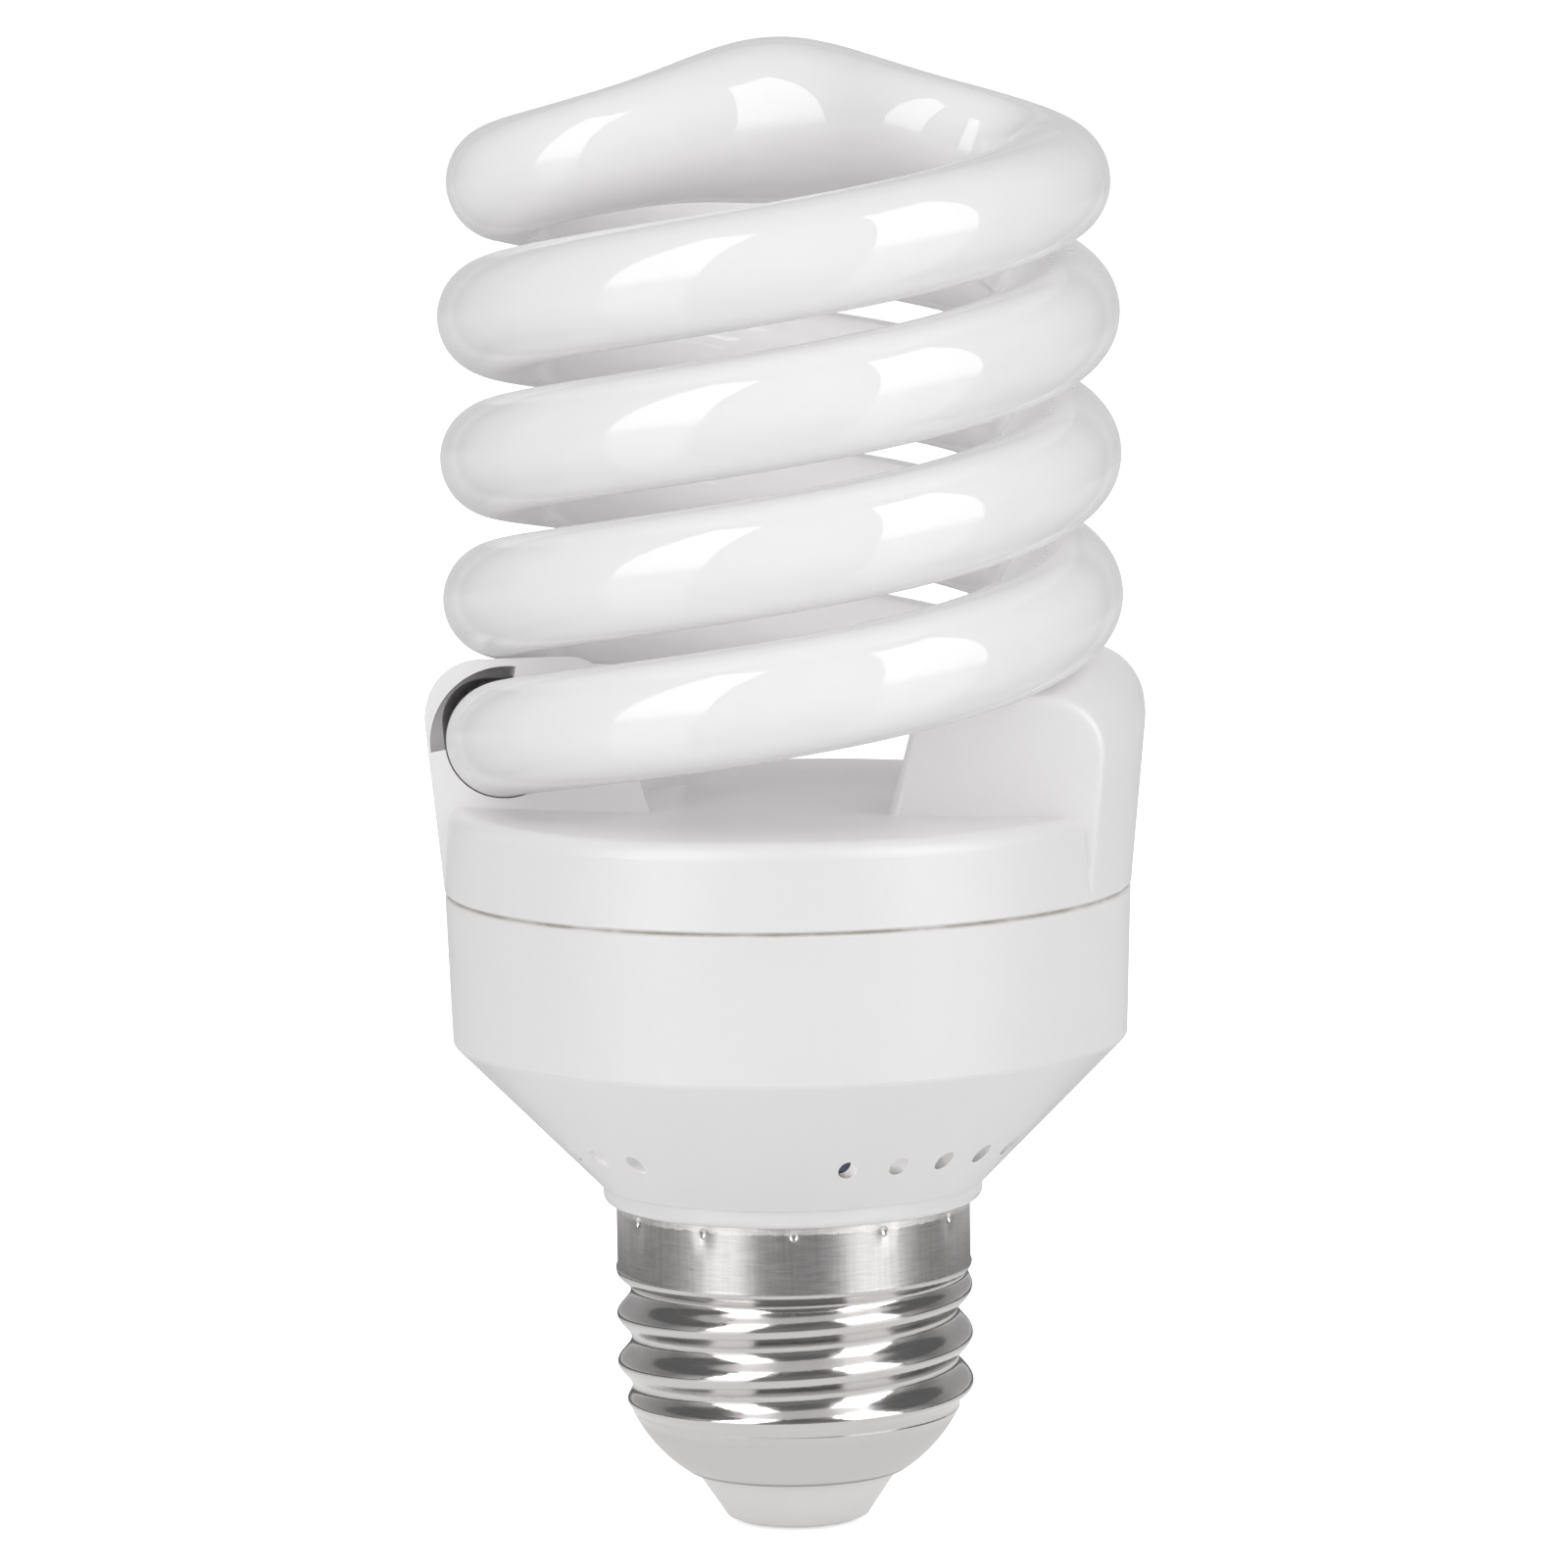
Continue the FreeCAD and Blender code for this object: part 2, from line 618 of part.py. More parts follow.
def shell_solid(inset):
    """Everything inside the shell's surface, moved inwards by the inset."""
    sections_per_turn = 11
    span = plain.thread_top - plain.thread_foot
    count = round(span / plain.thread_pitch * sections_per_turn)
    heights = [plain.thread_foot + span * step / count for step in range(count + 1)]
    thread = Part.makeLoft([thread_circle(z, inset) for z in heights], True, False, False, 5)
    skirt_height = plain.skirt_top - plain.thread_top
    skirt_foot = Vector(0, 0, plain.thread_top)
    skirt = Part.makeCylinder(plain.skirt_radius - inset, skirt_height, skirt_foot)
    return thread.fuse([bowl_solid(inset), skirt])


def dimple_balls():
    """The balls that punch the dimples under the skirt's rim."""
    count = int(plain.dimple_count)
    reach = plain.skirt_radius + plain.dimple_radius - plain.dimple_depth
    height = plain.skirt_top - plain.dimple_drop
    balls = []
    for step in range(count):
        angle = math.radians(360 * step / count)
        centre = Vector(reach * math.sin(angle), -reach * math.cos(angle), height)
        balls.append(Part.makeSphere(plain.dimple_radius, centre))
    return Part.Compound(balls)


def make_shell():
    skin = feature("shell_outside", shell_solid(0))
    room = feature("shell_inside", shell_solid(plain.shell_sheet))
    rolled = cut("rolled_shell", skin, room)
    balls = feature("dimple_balls", dimple_balls())
    node("screw_shell", cut("punched_shell", rolled, balls))


# Lower moulding, which holds the board and grips the cap with its neck


def make_housing():
    neck_seat_foot = size.skirt_top - size.neck_seat_height
    lean = root((belt_foot_radius - cone_foot_radius)
                * (belt_foot_radius - cone_foot_radius)
                + size.cone_height * size.cone_height) / size.cone_height
    cone_shift = size.housing_wall * lean
    cone_run = size.cone_height / (belt_foot_radius - cone_foot_radius)
    belt_foot_bore = belt_foot_radius - size.housing_wall
    ledge_foot = board_foot - size.ledge_height
    catch_middle = seam - size.catch_drop
    catch_half = size.catch_height / 2
    groove = belt_bore + size.catch_depth
    body = turned_body("ballast_housing_body", [
        (neck_bore, neck_foot),
        (neck_radius, neck_foot),
        (neck_radius, neck_seat_foot - size.neck_step_height),
        (neck_seat_radius, neck_seat_foot),
        (neck_seat_radius, size.skirt_top),
        (lip_radius, size.skirt_top),
        (lip_radius, cone_foot),
        (cone_foot_radius, cone_foot),
        (belt_foot_radius, belt_foot),
        (belt_radius, seam - size.seam_chamfer),
        (belt_radius - size.seam_chamfer, seam),
        (belt_bore, seam),
        (belt_bore, catch_middle + catch_half + size.catch_depth),
        (groove, catch_middle + catch_half),
        (groove, catch_middle - catch_half),
        (belt_bore, catch_middle - catch_half - size.catch_depth),
        (belt_bore, board_foot),
        (ledge_radius, board_foot),
        (ledge_radius, ledge_foot),
        (belt_foot_bore, ledge_foot - (belt_foot_bore - ledge_radius)),
        (belt_foot_bore, cone_foot + (belt_foot_bore + cone_shift - cone_foot_radius) * cone_run),
        (neck_bore, cone_foot + (neck_bore + cone_shift - cone_foot_radius) * cone_run),
    ])
    round_rings(body, size.lip_rounding, (lip_radius, size.skirt_top))
    round_rings(body, size.belt_rounding, (belt_foot_radius, belt_foot))
    drill_vents(body)
    notch_neck(body)
    node("ballast_housing", body)


def drill_vents(body):
    """Drill each vent right across the cone, so that every hole has one opposite."""
    sketch = body_sketch(body, "XZ_Plane", "vent_circle")
    draw_circle(sketch, size.vent_radius, 0, size.vent_height)
    sketch.AttachmentOffset = Placement(ORIGIN, Rotation(Vector(0, 1, 0), 0))
    sketch.setExpression("AttachmentOffset.Rotation.Angle", formula_of(size.vent_first_angle))
    document.recompute()
    vent = body.newObject("PartDesign::Pocket", "vent")
    vent.Profile = sketch
    vent.Type = "ThroughAll"
    vent.Midplane = True
    document.recompute()
    row = body.newObject("PartDesign::PolarPattern", "vent_rows")
    row.Originals = [vent]
    row.Axis = (sketch, ["V_Axis"])
    bind(row, Angle=size.vent_span, Occurrences=size.vent_count)
    body.Tip = row
    document.recompute()


def notch_neck(body):
    """Cut a notch down the back of the neck for the wire from the shell."""
    shallow, deep = neutral_reach()
    back = size.neutral_wire_radius + size.wire_notch_gap
    seat_foot = size.skirt_top - size.neck_seat_height
    top = size.wire_top + size.wire_notch_gap
    outside = neck_seat_radius + size.fit_gap
    sketch = body_sketch(body, "YZ_Plane", "notch_section")
    draw_outline(sketch, [
        (deep - back, neck_foot),
        (outside, neck_foot),
        (outside, top),
        (shallow - back, top),
        (shallow - back, seat_foot + size.neutral_wire_bend * 2),
        (deep - back, seat_foot - size.neck_step_height),
    ])
    document.recompute()
    notch = body.newObject("PartDesign::Pocket", "wire_notch")
    notch.Profile = sketch
    notch.Type = "Length"
    notch.Midplane = True
    bind(notch, Length=size.wire_notch_width)
    body.Tip = notch
    document.recompute()


# Upper moulding: a drum with a deck, and two hoods that take the ends of the glass


def make_drum():
    spigot_radius = belt_bore - size.spigot_gap
    spigot_bore = spigot_radius - size.spigot_wall
    catch = spigot_radius + size.catch_depth
    catch_middle = seam - size.catch_drop
    catch_half = size.catch_height / 2
    drum_bore = drum_radius - size.housing_wall
    drum_top_bore = drum_top_radius - size.housing_wall
    root_top = seam + size.spigot_root
    body = turned_body("drum_body", [
        (spigot_bore, board_top),
        (spigot_radius - size.catch_depth, board_top),
        (spigot_radius, board_top + size.catch_depth),
        (spigot_radius, catch_middle - catch_half - size.catch_depth),
        (catch, catch_middle - catch_half),
        (catch, catch_middle + catch_half),
        (spigot_radius, catch_middle + catch_half + size.catch_depth),
        (spigot_radius, seam),
        (drum_radius - size.seam_chamfer, seam),
        (drum_radius, seam + size.seam_chamfer),
        (drum_top_radius, deck),
        (0, deck),
        (0, deck - size.deck_thickness),
        (drum_top_bore, deck - size.deck_thickness),
        (drum_bore, root_top + (drum_bore - spigot_bore)),
        (spigot_bore, root_top),
    ])
    round_rings(body, size.drum_rounding, (drum_top_radius, deck))
    return body


def hood_plan(name, inset, foot):
    """The hood seen from above, between its closed face and its open face."""
    near = hood_inner_radius / 2
    far = drum_radius + hood_height

    def closed(x):
        return -((size.hood_closed_offset - inset) / cosine(size.hood_closed_angle)
                 + x * tangent(size.hood_closed_angle))

    def opened(x):
        return ((size.hood_open_offset - inset) / cosine(size.hood_open_angle)
                - x * tangent(size.hood_open_angle))

    plan = document.addObject("Sketcher::SketchObject", name + "_plan")
    draw_outline(plan, [(near, closed(near)), (far, closed(far)), (far, opened(far)), (near, opened(near))])
    place(plan, z=foot)
    prism = document.addObject("Part::Extrusion", name + "_prism")
    prism.Base = plan
    prism.DirMode = "Custom"
    prism.Dir = UP
    prism.Solid = True
    bind(prism, LengthFwd=size.drum_height + hood_height * 2)
    return prism


def hood_inner(height, inset):
    lean = size.hood_inner_lean
    return hood_inner_radius + (height - deck) * tangent(lean) + inset / cosine(lean)


def hood_outer(height, inset):
    lean = size.hood_outer_lean
    return drum_radius + (height - seam) * tangent(lean) - inset / cosine(lean)


def hood_ring(name, corners):
    ring = document.addObject("Part::Revolution", name + "_ring")
    ring.Source = section_sketch(name + "_section", corners)
    ring.Axis = UP
    ring.Base = ORIGIN
    ring.Angle = 360
    ring.Solid = True
    return ring


def hood_sky(name, inset):
    """The block over a hood's sloping top."""
    half = drum_radius * 2
    block = document.addObject("Part::Box", name + "_sky")
    block.Placement = Placement(ORIGIN, Rotation(Vector(1, 0, 0), 1))
    block.setExpression("Placement.Rotation.Angle", formula_of(hood_slope))
    bind(block, Length=half * 2, Width=half * 2, Height=half * 2)
    top = deck + hood_height - inset / cosine(hood_slope)
    place(block, -half, -half * cosine(hood_slope), top - half * sine(hood_slope))
    return block


def rough_hood(name, inset, foot, corners):
    prism = hood_plan(name, inset, foot)
    walls = common(name + "_walls", prism, hood_ring(name, corners))
    block = cut(name + "_block", walls, hood_sky(name, inset))
    document.recompute()
    return block


def on_top(point, inset):
    top = float(hood_height) + float(deck) - inset / math.cos(math.radians(float(hood_slope)))
    return abs(top + point.y * math.tan(math.radians(float(hood_slope))) - point.z) < 0.01


def on_closed_face(point):
    angle = math.radians(plain.hood_closed_angle)
    reach = -point.x * math.sin(angle) - point.y * math.cos(angle)
    return abs(reach - plain.hood_closed_offset) < 0.01


def middle_of(edge):
    return edge.valueAt((edge.FirstParameter + edge.LastParameter) / 2)


def round_top(name, block, inset):
    """Round the edges of the sloping top over the inner and the outer wall."""
    edges = []
    for number, edge in enumerate(block.Shape.Edges, 1):
        middle = middle_of(edge)
        ends = [vertex.Point for vertex in edge.Vertexes]
        flat = all(on_top(point, inset) for point in ends + [middle])
        straight = isinstance(edge.Curve, Part.Line)
        if flat and not straight:
            walls = float(hood_inner(middle.z, inset) + hood_outer(middle.z, inset))
            outer = math.hypot(middle.x, middle.y) > walls / 2
            rounding = plain.hood_outer_rounding if outer else plain.hood_inner_rounding
            edges.append((number, rounding - inset, rounding - inset))
    fillet = document.addObject("Part::Fillet", name + "_top")
    fillet.Base = block
    fillet.Edges = edges
    document.recompute()
    return fillet


def round_closed_face(name, block):
    """Soften the edges of the closed face that rise over the deck."""
    edges = []
    for number, edge in enumerate(block.Shape.Edges, 1):
        ends = [vertex.Point for vertex in edge.Vertexes]
        flat = all(on_closed_face(point) for point in ends + [middle_of(edge)])
        if flat and max(point.z for point in ends) > float(deck):
            edges.append((number, plain.hood_edge_rounding, plain.hood_edge_rounding))
    fillet = document.addObject("Part::Fillet", name + "_face")
    fillet.Base = block
    fillet.Edges = edges
    document.recompute()
    return fillet


def hood_outside(name):
    under_deck = deck - size.deck_thickness
    sky = deck + hood_height * 2
    wall_foot = drum_top_radius - size.housing_wall
    block = rough_hood(name, 0, seam, [
        (hood_inner(under_deck, 0), under_deck),
        (wall_foot, under_deck),
        (drum_radius - size.housing_wall, seam),
        (drum_radius - size.seam_chamfer, seam),
        (hood_outer(seam + size.seam_chamfer, 0), seam + size.seam_chamfer),
        (hood_outer(sky, 0), sky),
        (hood_inner(sky, 0), sky),
    ])
    return round_closed_face(name, round_top(name, block, 0))


def hood_room(name):
    """The hollow of a hood, which is open to the drum below."""
    inset = size.hood_wall
    foot = seam + size.spigot_root + size.housing_wall
    sky = deck + hood_height * 2
    block = rough_hood(name, inset, foot, [
        (hood_inner(foot, inset), foot),
        (hood_outer(foot, inset), foot),
        (hood_outer(sky, inset), sky),
        (hood_inner(sky, inset), sky),
    ])
    return round_top(name, block, plain.hood_wall)


# Glass


def spiral_point(angle):
    """Centre and way of the first limb at an angle counted round from +X."""
    turn = math.radians(angle)
    level = float(deck) + float(tube_above_deck)
    height = level + float(spiral_rise) * (angle - 180) / 360
    centre = Vector(plain.spiral_radius * math.cos(turn), plain.spiral_radius * math.sin(turn), height)
    slope = float(spiral_rise) / (2 * math.pi * plain.spiral_radius)
    return centre, Vector(-math.sin(turn), math.cos(turn), slope).normalize()


def tube_circle(centre, way, radius):
    """A section across the glass, turned so that its start always faces up."""
    rise = (UP - way * UP.dot(way)).normalize()
    wire = Part.Wire(Part.makeCircle(radius))
    wire.Placement = Placement(centre, Rotation(rise, way.cross(rise), way, "ZXY"))
    return wire


def limb_solid(start, end, radius):
    """A stretch of the first limb between two angles."""
    climb = float(spiral_rise) * (end - start) / 360
    spiral = Part.makeHelix(float(spiral_rise), climb, plain.spiral_radius)
    centre, way = spiral_point(start)
    spiral.rotate(ORIGIN, UP, start)
    spiral.translate(Vector(0, 0, centre.z))
    return Part.Wire(spiral.Edges).makePipeShell([tube_circle(centre, way, radius)], True, True)


def crossover_solid():
    """The swollen bridge from the end of one limb over the axis to the other."""
    start, way = spiral_point(plain.leave_angle)
    heading = math.radians(plain.crossover_heading)
    across = Vector(math.cos(heading), math.sin(heading), 0)
    leaving = Vector(way.x, way.y, 0).normalize()
    foot = Vector(start.x, start.y, 0)
    path = Part.BezierCurve()
    path.setPoles([
        foot,
        foot + leaving * plain.crossover_lead_out,
        across * -plain.crossover_lead_in,
        ORIGIN,
    ])
    run = path.length()
    top = float(deck) + float(tube_above_deck) + 2 * float(spiral_rise) + plain.crossover_rise
    climb = run * way.z / math.hypot(way.x, way.y) * plain.crossover_climb
    steps = 7
    half = [(start, way, plain.tube_radius)]
    for step in range(1, steps + 1):
        share = step / steps
        place_on_path = path.parameterAtDistance(run * share, 0.0)
        point = path.value(place_on_path)
        along = path.tangent(place_on_path)[0]
        fade = share * (1 - share) ** 2
        height = start.z + climb * fade + (top - start.z) * smooth(share)
        gradient = climb * (1 - share) * (1 - 3 * share) + (top - start.z) * 6 * share * (1 - share)
        centre = Vector(point.x, point.y, height)
        ahead = Vector(along.x, along.y, gradient / run).normalize()
        swollen = plain.crossover_swelling * smooth(share) ** plain.crossover_focus
        half.append((centre, ahead, plain.tube_radius + swollen))
    mirrored = []
    for centre, ahead, radius in reversed(half[:-1]):
        opposite = Vector(-centre.x, -centre.y, centre.z)
        mirrored.append((opposite, Vector(ahead.x, ahead.y, -ahead.z), radius))
    circles = [tube_circle(*section) for section in half + mirrored]
    return Part.makeLoft(circles, True, False, False, 5)


def make_glass():
    limb = limb_solid(plain.foot_angle, plain.leave_angle, plain.tube_radius)
    other_limb = limb.copy()
    other_limb.rotate(ORIGIN, UP, 180)
    glass = limb.fuse([crossover_solid(), other_limb])
    node("discharge_tube", feature("glass", glass))


def open_face_angle():
    """Angle at which the centre line of the glass passes the open face."""
    reach = plain.hood_open_offset / plain.spiral_radius
    return 180 + math.degrees(math.asin(reach)) - plain.hood_open_angle


def tube_hole():
    """Room for the glass in the open face of the left hood, wider at its upper outer side."""
    angle = open_face_angle()
    reach = math.degrees(math.atan2(2 * plain.tube_radius, plain.spiral_radius)) / 2
    hole = limb_solid(angle - reach, angle + reach, plain.tube_radius + plain.tube_hole_gap)
    centre, way = spiral_point(angle)
    right = UP.cross(way).normalize()
    depth = plain.tube_radius * 2
    relief_radius = plain.tube_radius + plain.relief_depth
    relief = Part.makeCylinder(relief_radius, depth, ORIGIN, UP, plain.relief_span)
    relief.rotate(ORIGIN, UP, plain.relief_start)
    relief.translate(Vector(0, 0, -depth / 2))
    relief.Placement = Placement(centre, Rotation(right, way.cross(right), way, "ZXY")) * relief.Placement
    return hole.fuse(relief)


def make_cover():
    drum = make_drum()
    right_hood = hood_outside("right_hood")
    left_hood = hood_outside("left_hood")
    left_hood.Placement = HALF_TURN
    right_room = hood_room("right_room")
    left_room = hood_room("left_room")
    left_room.Placement = HALF_TURN
    hole = tube_hole()
    left_hole = feature("left_tube_hole", hole)
    right_hole = feature("right_tube_hole", hole, HALF_TURN)
    outside = joined("cover_outside", [drum, right_hood, left_hood])
    inside = joined("cover_inside", [right_room, left_room, left_hole, right_hole])
    node("upper_cover", cut("hooded_cover", outside, inside))


# Parts on the circuit board: shared shapes

board_holes = []
LYING = {"x": Rotation(Vector(0, 1, 0), 90), "y": Rotation(Vector(1, 0, 0), -90)}


def block(name, length, width, height, x, y, foot):
    """A box whose middle stands at x, y."""
    box = document.addObject("Part::Box", name)
    bind(box, Length=length, Width=width, Height=height)
    place(box, x - length / 2, y - width / 2, foot)
    return box


def post(name, radius, foot, top, x=0, y=0):
    """An upright cylinder between two heights."""
    cylinder = document.addObject("Part::Cylinder", name)
    bind(cylinder, Radius=radius, Height=top - foot)
    place(cylinder, x, y, foot)
    return cylinder


def rod(name, radius, length, x, y, height, way):
    """A cylinder that lies along x or y with its middle at the given place."""
    cylinder = document.addObject("Part::Cylinder", name)
    cylinder.Placement = Placement(ORIGIN, LYING[way])
    bind(cylinder, Radius=radius, Height=length)
    if way == "x":
        place(cylinder, x - length / 2, y, height)
    else:
        place(cylinder, x, y - length / 2, height)
    return cylinder


def group(name, things):
    """Like solids that stay separate in one node."""
    compound = document.addObject("Part::Compound", name)
    compound.Links = things
    return compound


def upright(edge):
    first = edge.Vertexes[0].Point
    last = edge.Vertexes[-1].Point
    return isinstance(edge.Curve, Part.Line) and abs(first.z - last.z) > 0.01


def is_round(edge):
    return isinstance(edge.Curve, Part.Circle)


def any_edge(edge):
    return True


def rounded(name, base, radius, chosen=any_edge):
    """Fillet the edges of a plain solid that the given test picks."""
    document.recompute()
    amount = float(radius)
    numbers = [number for number, edge in enumerate(base.Shape.Edges, 1) if chosen(edge)]
    fillet = document.addObject("Part::Fillet", name)
    fillet.Base = base
    fillet.Edges = [(number, amount, amount) for number in numbers]
    return fillet


def leg(name, x, y, foot):
    """A wire leg from a part up through the board, which gets a hole for it."""
    board_holes.append((x, y, size.leg_radius + size.hole_gap))
    return post(name, size.leg_radius, foot, board_top + size.leg_stub, x, y)


def two_legs(name, x, y, foot, pitch, way):
    """Two legs side by side along x or y."""
    legs = []
    for number, side in enumerate((-1, 1), 1):
        shift = pitch / 2 * side
        spot = (x + shift, y) if way == "x" else (x, y + shift)
        legs.append(leg("%s_leg_%d" % (name, number), spot[0], spot[1], foot))
    return legs


def bent_wire(points, radius, bend):
    """A wire through straight runs that are joined by tangent arcs."""
    edges = []
    here = points[0]
    for before, corner, after in zip(points, points[1:], points[2:]):
        back = (before - corner).normalize()
        ahead = (after - corner).normalize()
        half = back.getAngle(ahead) / 2
        reach = bend / math.tan(half)
        start = corner + back * reach
        end = corner + ahead * reach
        inwards = (back + ahead).normalize()
        middle = corner + inwards * (bend / math.sin(half) - bend)
        edges.append(Part.LineSegment(here, start).toShape())
        edges.append(Part.Arc(start, middle, end).toShape())
        here = end
    edges.append(Part.LineSegment(here, points[-1]).toShape())
    way = (points[1] - points[0]).normalize()
    profile = Part.Wire(Part.makeCircle(radius, points[0], way))
    return Part.Wire(edges).makePipeShell([profile], True, True)


def axial_part(name, radius, length, pitch, x, y, way):
    """A part that lies under the board, with a leg out of each end that turns up through it."""
    height = board_foot - size.lying_gap - radius
    body = rod(name + "_body", radius, length, x, y, height, way)
    half = float(pitch) / 2
    top = float(board_top) + plain.leg_stub
    along = Vector(1, 0, 0) if way == "x" else Vector(0, 1, 0)
    centre = Vector(float(x), float(y), float(height))
    ends = [centre - along * half, centre + along * half]
    route = [Vector(ends[0].x, ends[0].y, top), ends[0], ends[1], Vector(ends[1].x, ends[1].y, top)]
    for side in (-1, 1):
        shift = pitch / 2 * side
        spot = (x + shift, y) if way == "x" else (x, y + shift)
        board_holes.append((spot[0], spot[1], size.leg_radius + size.hole_gap))
    wire = feature(name + "_legs", bent_wire(route, plain.leg_radius, plain.leg_bend))
    return joined(name, [body, wire])


# Smoothing capacitor, a can that hangs into the cone


def make_can():
    top = board_foot - size.standing_gap
    foot = top - size.can_length
    groove = top - size.crimp_drop
    body = turned_body("can_body", [
        (0, foot),
        (size.can_radius, foot),
        (size.can_radius, groove - size.crimp_depth),
        (size.can_radius - size.crimp_depth, groove),
        (size.can_radius, groove + size.crimp_depth),
        (size.can_radius, top),
        (0, top),
    ])
    round_rings(body, size.can_rounding, (size.can_radius, foot), (size.can_radius, top))
    place(body, x=size.can_offset)
    legs = two_legs("can", size.can_offset, 0, top, size.can_pitch, "x")
    node("bulk_capacitor", joined("can_with_legs", [body, *legs]))


# Lamp choke: two core halves, a bobbin with its pins, and the winding


def core_half(name, back, inner, face):
    """An E from its back to the face of its legs."""
    half = size.core_width / 2
    window = half - size.core_leg
    middle = size.core_middle_leg / 2
    section = document.addObject("Sketcher::SketchObject", name + "_section")
    section.Placement = Placement(ORIGIN, Rotation(Vector(1, 1, 1), 120))
    draw_outline(section, [
        (-half, back),
        (half, back),
        (half, face),
        (window, face),
        (window, inner),
        (middle, inner),
        (middle, face),
        (-middle, face),
        (-middle, inner),
        (-window, inner),
        (-window, face),
        (-half, face),
    ])
    place(section, x=-size.choke_offset - size.core_depth / 2)
    prism = document.addObject("Part::Extrusion", name)
    prism.Base = section
    prism.DirMode = "Custom"
    prism.Dir = Vector(1, 0, 0)
    prism.Solid = True
    bind(prism, LengthFwd=size.core_depth)
    return prism


def make_choke():
    top = board_foot - size.core_drop
    foot = top - size.core_half * 2
    middle = top - size.core_half
    window_top = top - size.core_back
    window_foot = foot + size.core_back
    upper = core_half("upper_half", top, window_top, middle + size.core_split / 2)
    lower = core_half("lower_half", foot, window_foot, middle - size.core_split / 2)
    node("choke_core", group("choke_halves", [upper, lower]))

    x = -size.choke_offset
    gap = size.bobbin_gap
    hole_depth = size.core_depth + gap * 2
    hole_width = size.core_middle_leg + gap * 2
    tube_depth = hole_depth + size.bobbin_wall * 2
    tube_width = hole_width + size.bobbin_wall * 2
    flange_reach = (size.winding_build + size.flange_lip) * 2
    flange_depth = tube_depth + flange_reach
    flange_width = tube_width + flange_reach
    bobbin_foot = window_foot + gap
    bobbin_top = window_top - gap
    shoulder = bobbin_top - size.bobbin_wall
    terminal_depth = (flange_depth - hole_depth) / 2
    solids = [
        block("bobbin_tube", tube_depth, tube_width, bobbin_top - bobbin_foot, x, 0, bobbin_foot),
        block("lower_flange", flange_depth, flange_width, size.bobbin_wall, x, 0, bobbin_foot),
        block("upper_flange", flange_depth, flange_width, size.bobbin_wall, x, 0, shoulder),
    ]
    pins = []
    for number, side in enumerate((-1, 1), 1):
        terminal_x = x + (hole_depth + terminal_depth) / 2 * side
        solids.append(block("terminals_%d" % number, terminal_depth, flange_width, board_foot - shoulder,
                            terminal_x, 0, shoulder))
        pins += two_legs("choke_%d" % number, terminal_x, 0, board_foot - size.choke_pin_depth,
                         size.choke_pin_row, "y")
    hole = block("bobbin_hole", hole_depth, hole_width, size.core_half * 2, x, 0, foot)
    node("choke_pins", group("choke_pin_group", pins))
    holes = group("bobbin_holes", [hole, *pins])
    node("choke_bobbin", cut("drilled_bobbin", joined("bobbin_blank", solids), holes))

    coil_foot = bobbin_foot + size.bobbin_wall + size.coil_gap
    coil_height = shoulder - size.coil_gap - coil_foot
    coil_depth = tube_depth + size.winding_build * 2
    coil_width = tube_width + size.winding_build * 2
    inner_depth = tube_depth + size.coil_gap * 2
    inner_width = tube_width + size.coil_gap * 2
    coil = block("winding_block", coil_depth, coil_width, coil_height, x, 0, coil_foot)
    core = block("winding_hole", inner_depth, inner_width, coil_height, x, 0, coil_foot)
    corners = rounded("winding_corners", coil, size.winding_rounding, upright)
    node("choke_winding", cut("wound_block", corners, core))


# Drive transformer: a ferrite ring with three windings


def wire_loop(angle):
    """One turn of wire round the ring's section."""
    off = plain.coil_wire + plain.coil_gap
    corner = off + plain.ring_rounding
    top = float(board_foot) - plain.standing_gap + off
    foot = top - plain.ring_height - off * 2
    inside = plain.ring_inner - off
    outside = plain.ring_outer + off
    bend = corner * (1 - math.sqrt(0.5))

    def spot(reach, height):
        return Vector(reach, 0, height)

    corners = [
        (spot(inside, foot + corner), spot(inside + bend, foot + bend), spot(inside + corner, foot)),
        (spot(outside - corner, foot), spot(outside - bend, foot + bend), spot(outside, foot + corner)),
        (spot(outside, top - corner), spot(outside - bend, top - bend), spot(outside - corner, top)),
        (spot(inside + corner, top), spot(inside + bend, top - bend), spot(inside, top - corner)),
    ]
    edges = []
    for number, (first, middle, last) in enumerate(corners):
        edges.append(Part.Arc(first, middle, last).toShape())
        edges.append(Part.LineSegment(last, corners[(number + 1) % len(corners)][0]).toShape())
    profile = Part.Wire(Part.makeCircle(plain.coil_wire, corners[0][0], Vector(0, 0, -1)))
    loop = Part.Wire(edges).makePipeShell([profile], True, True)
    return loop.rotated(ORIGIN, UP, angle)


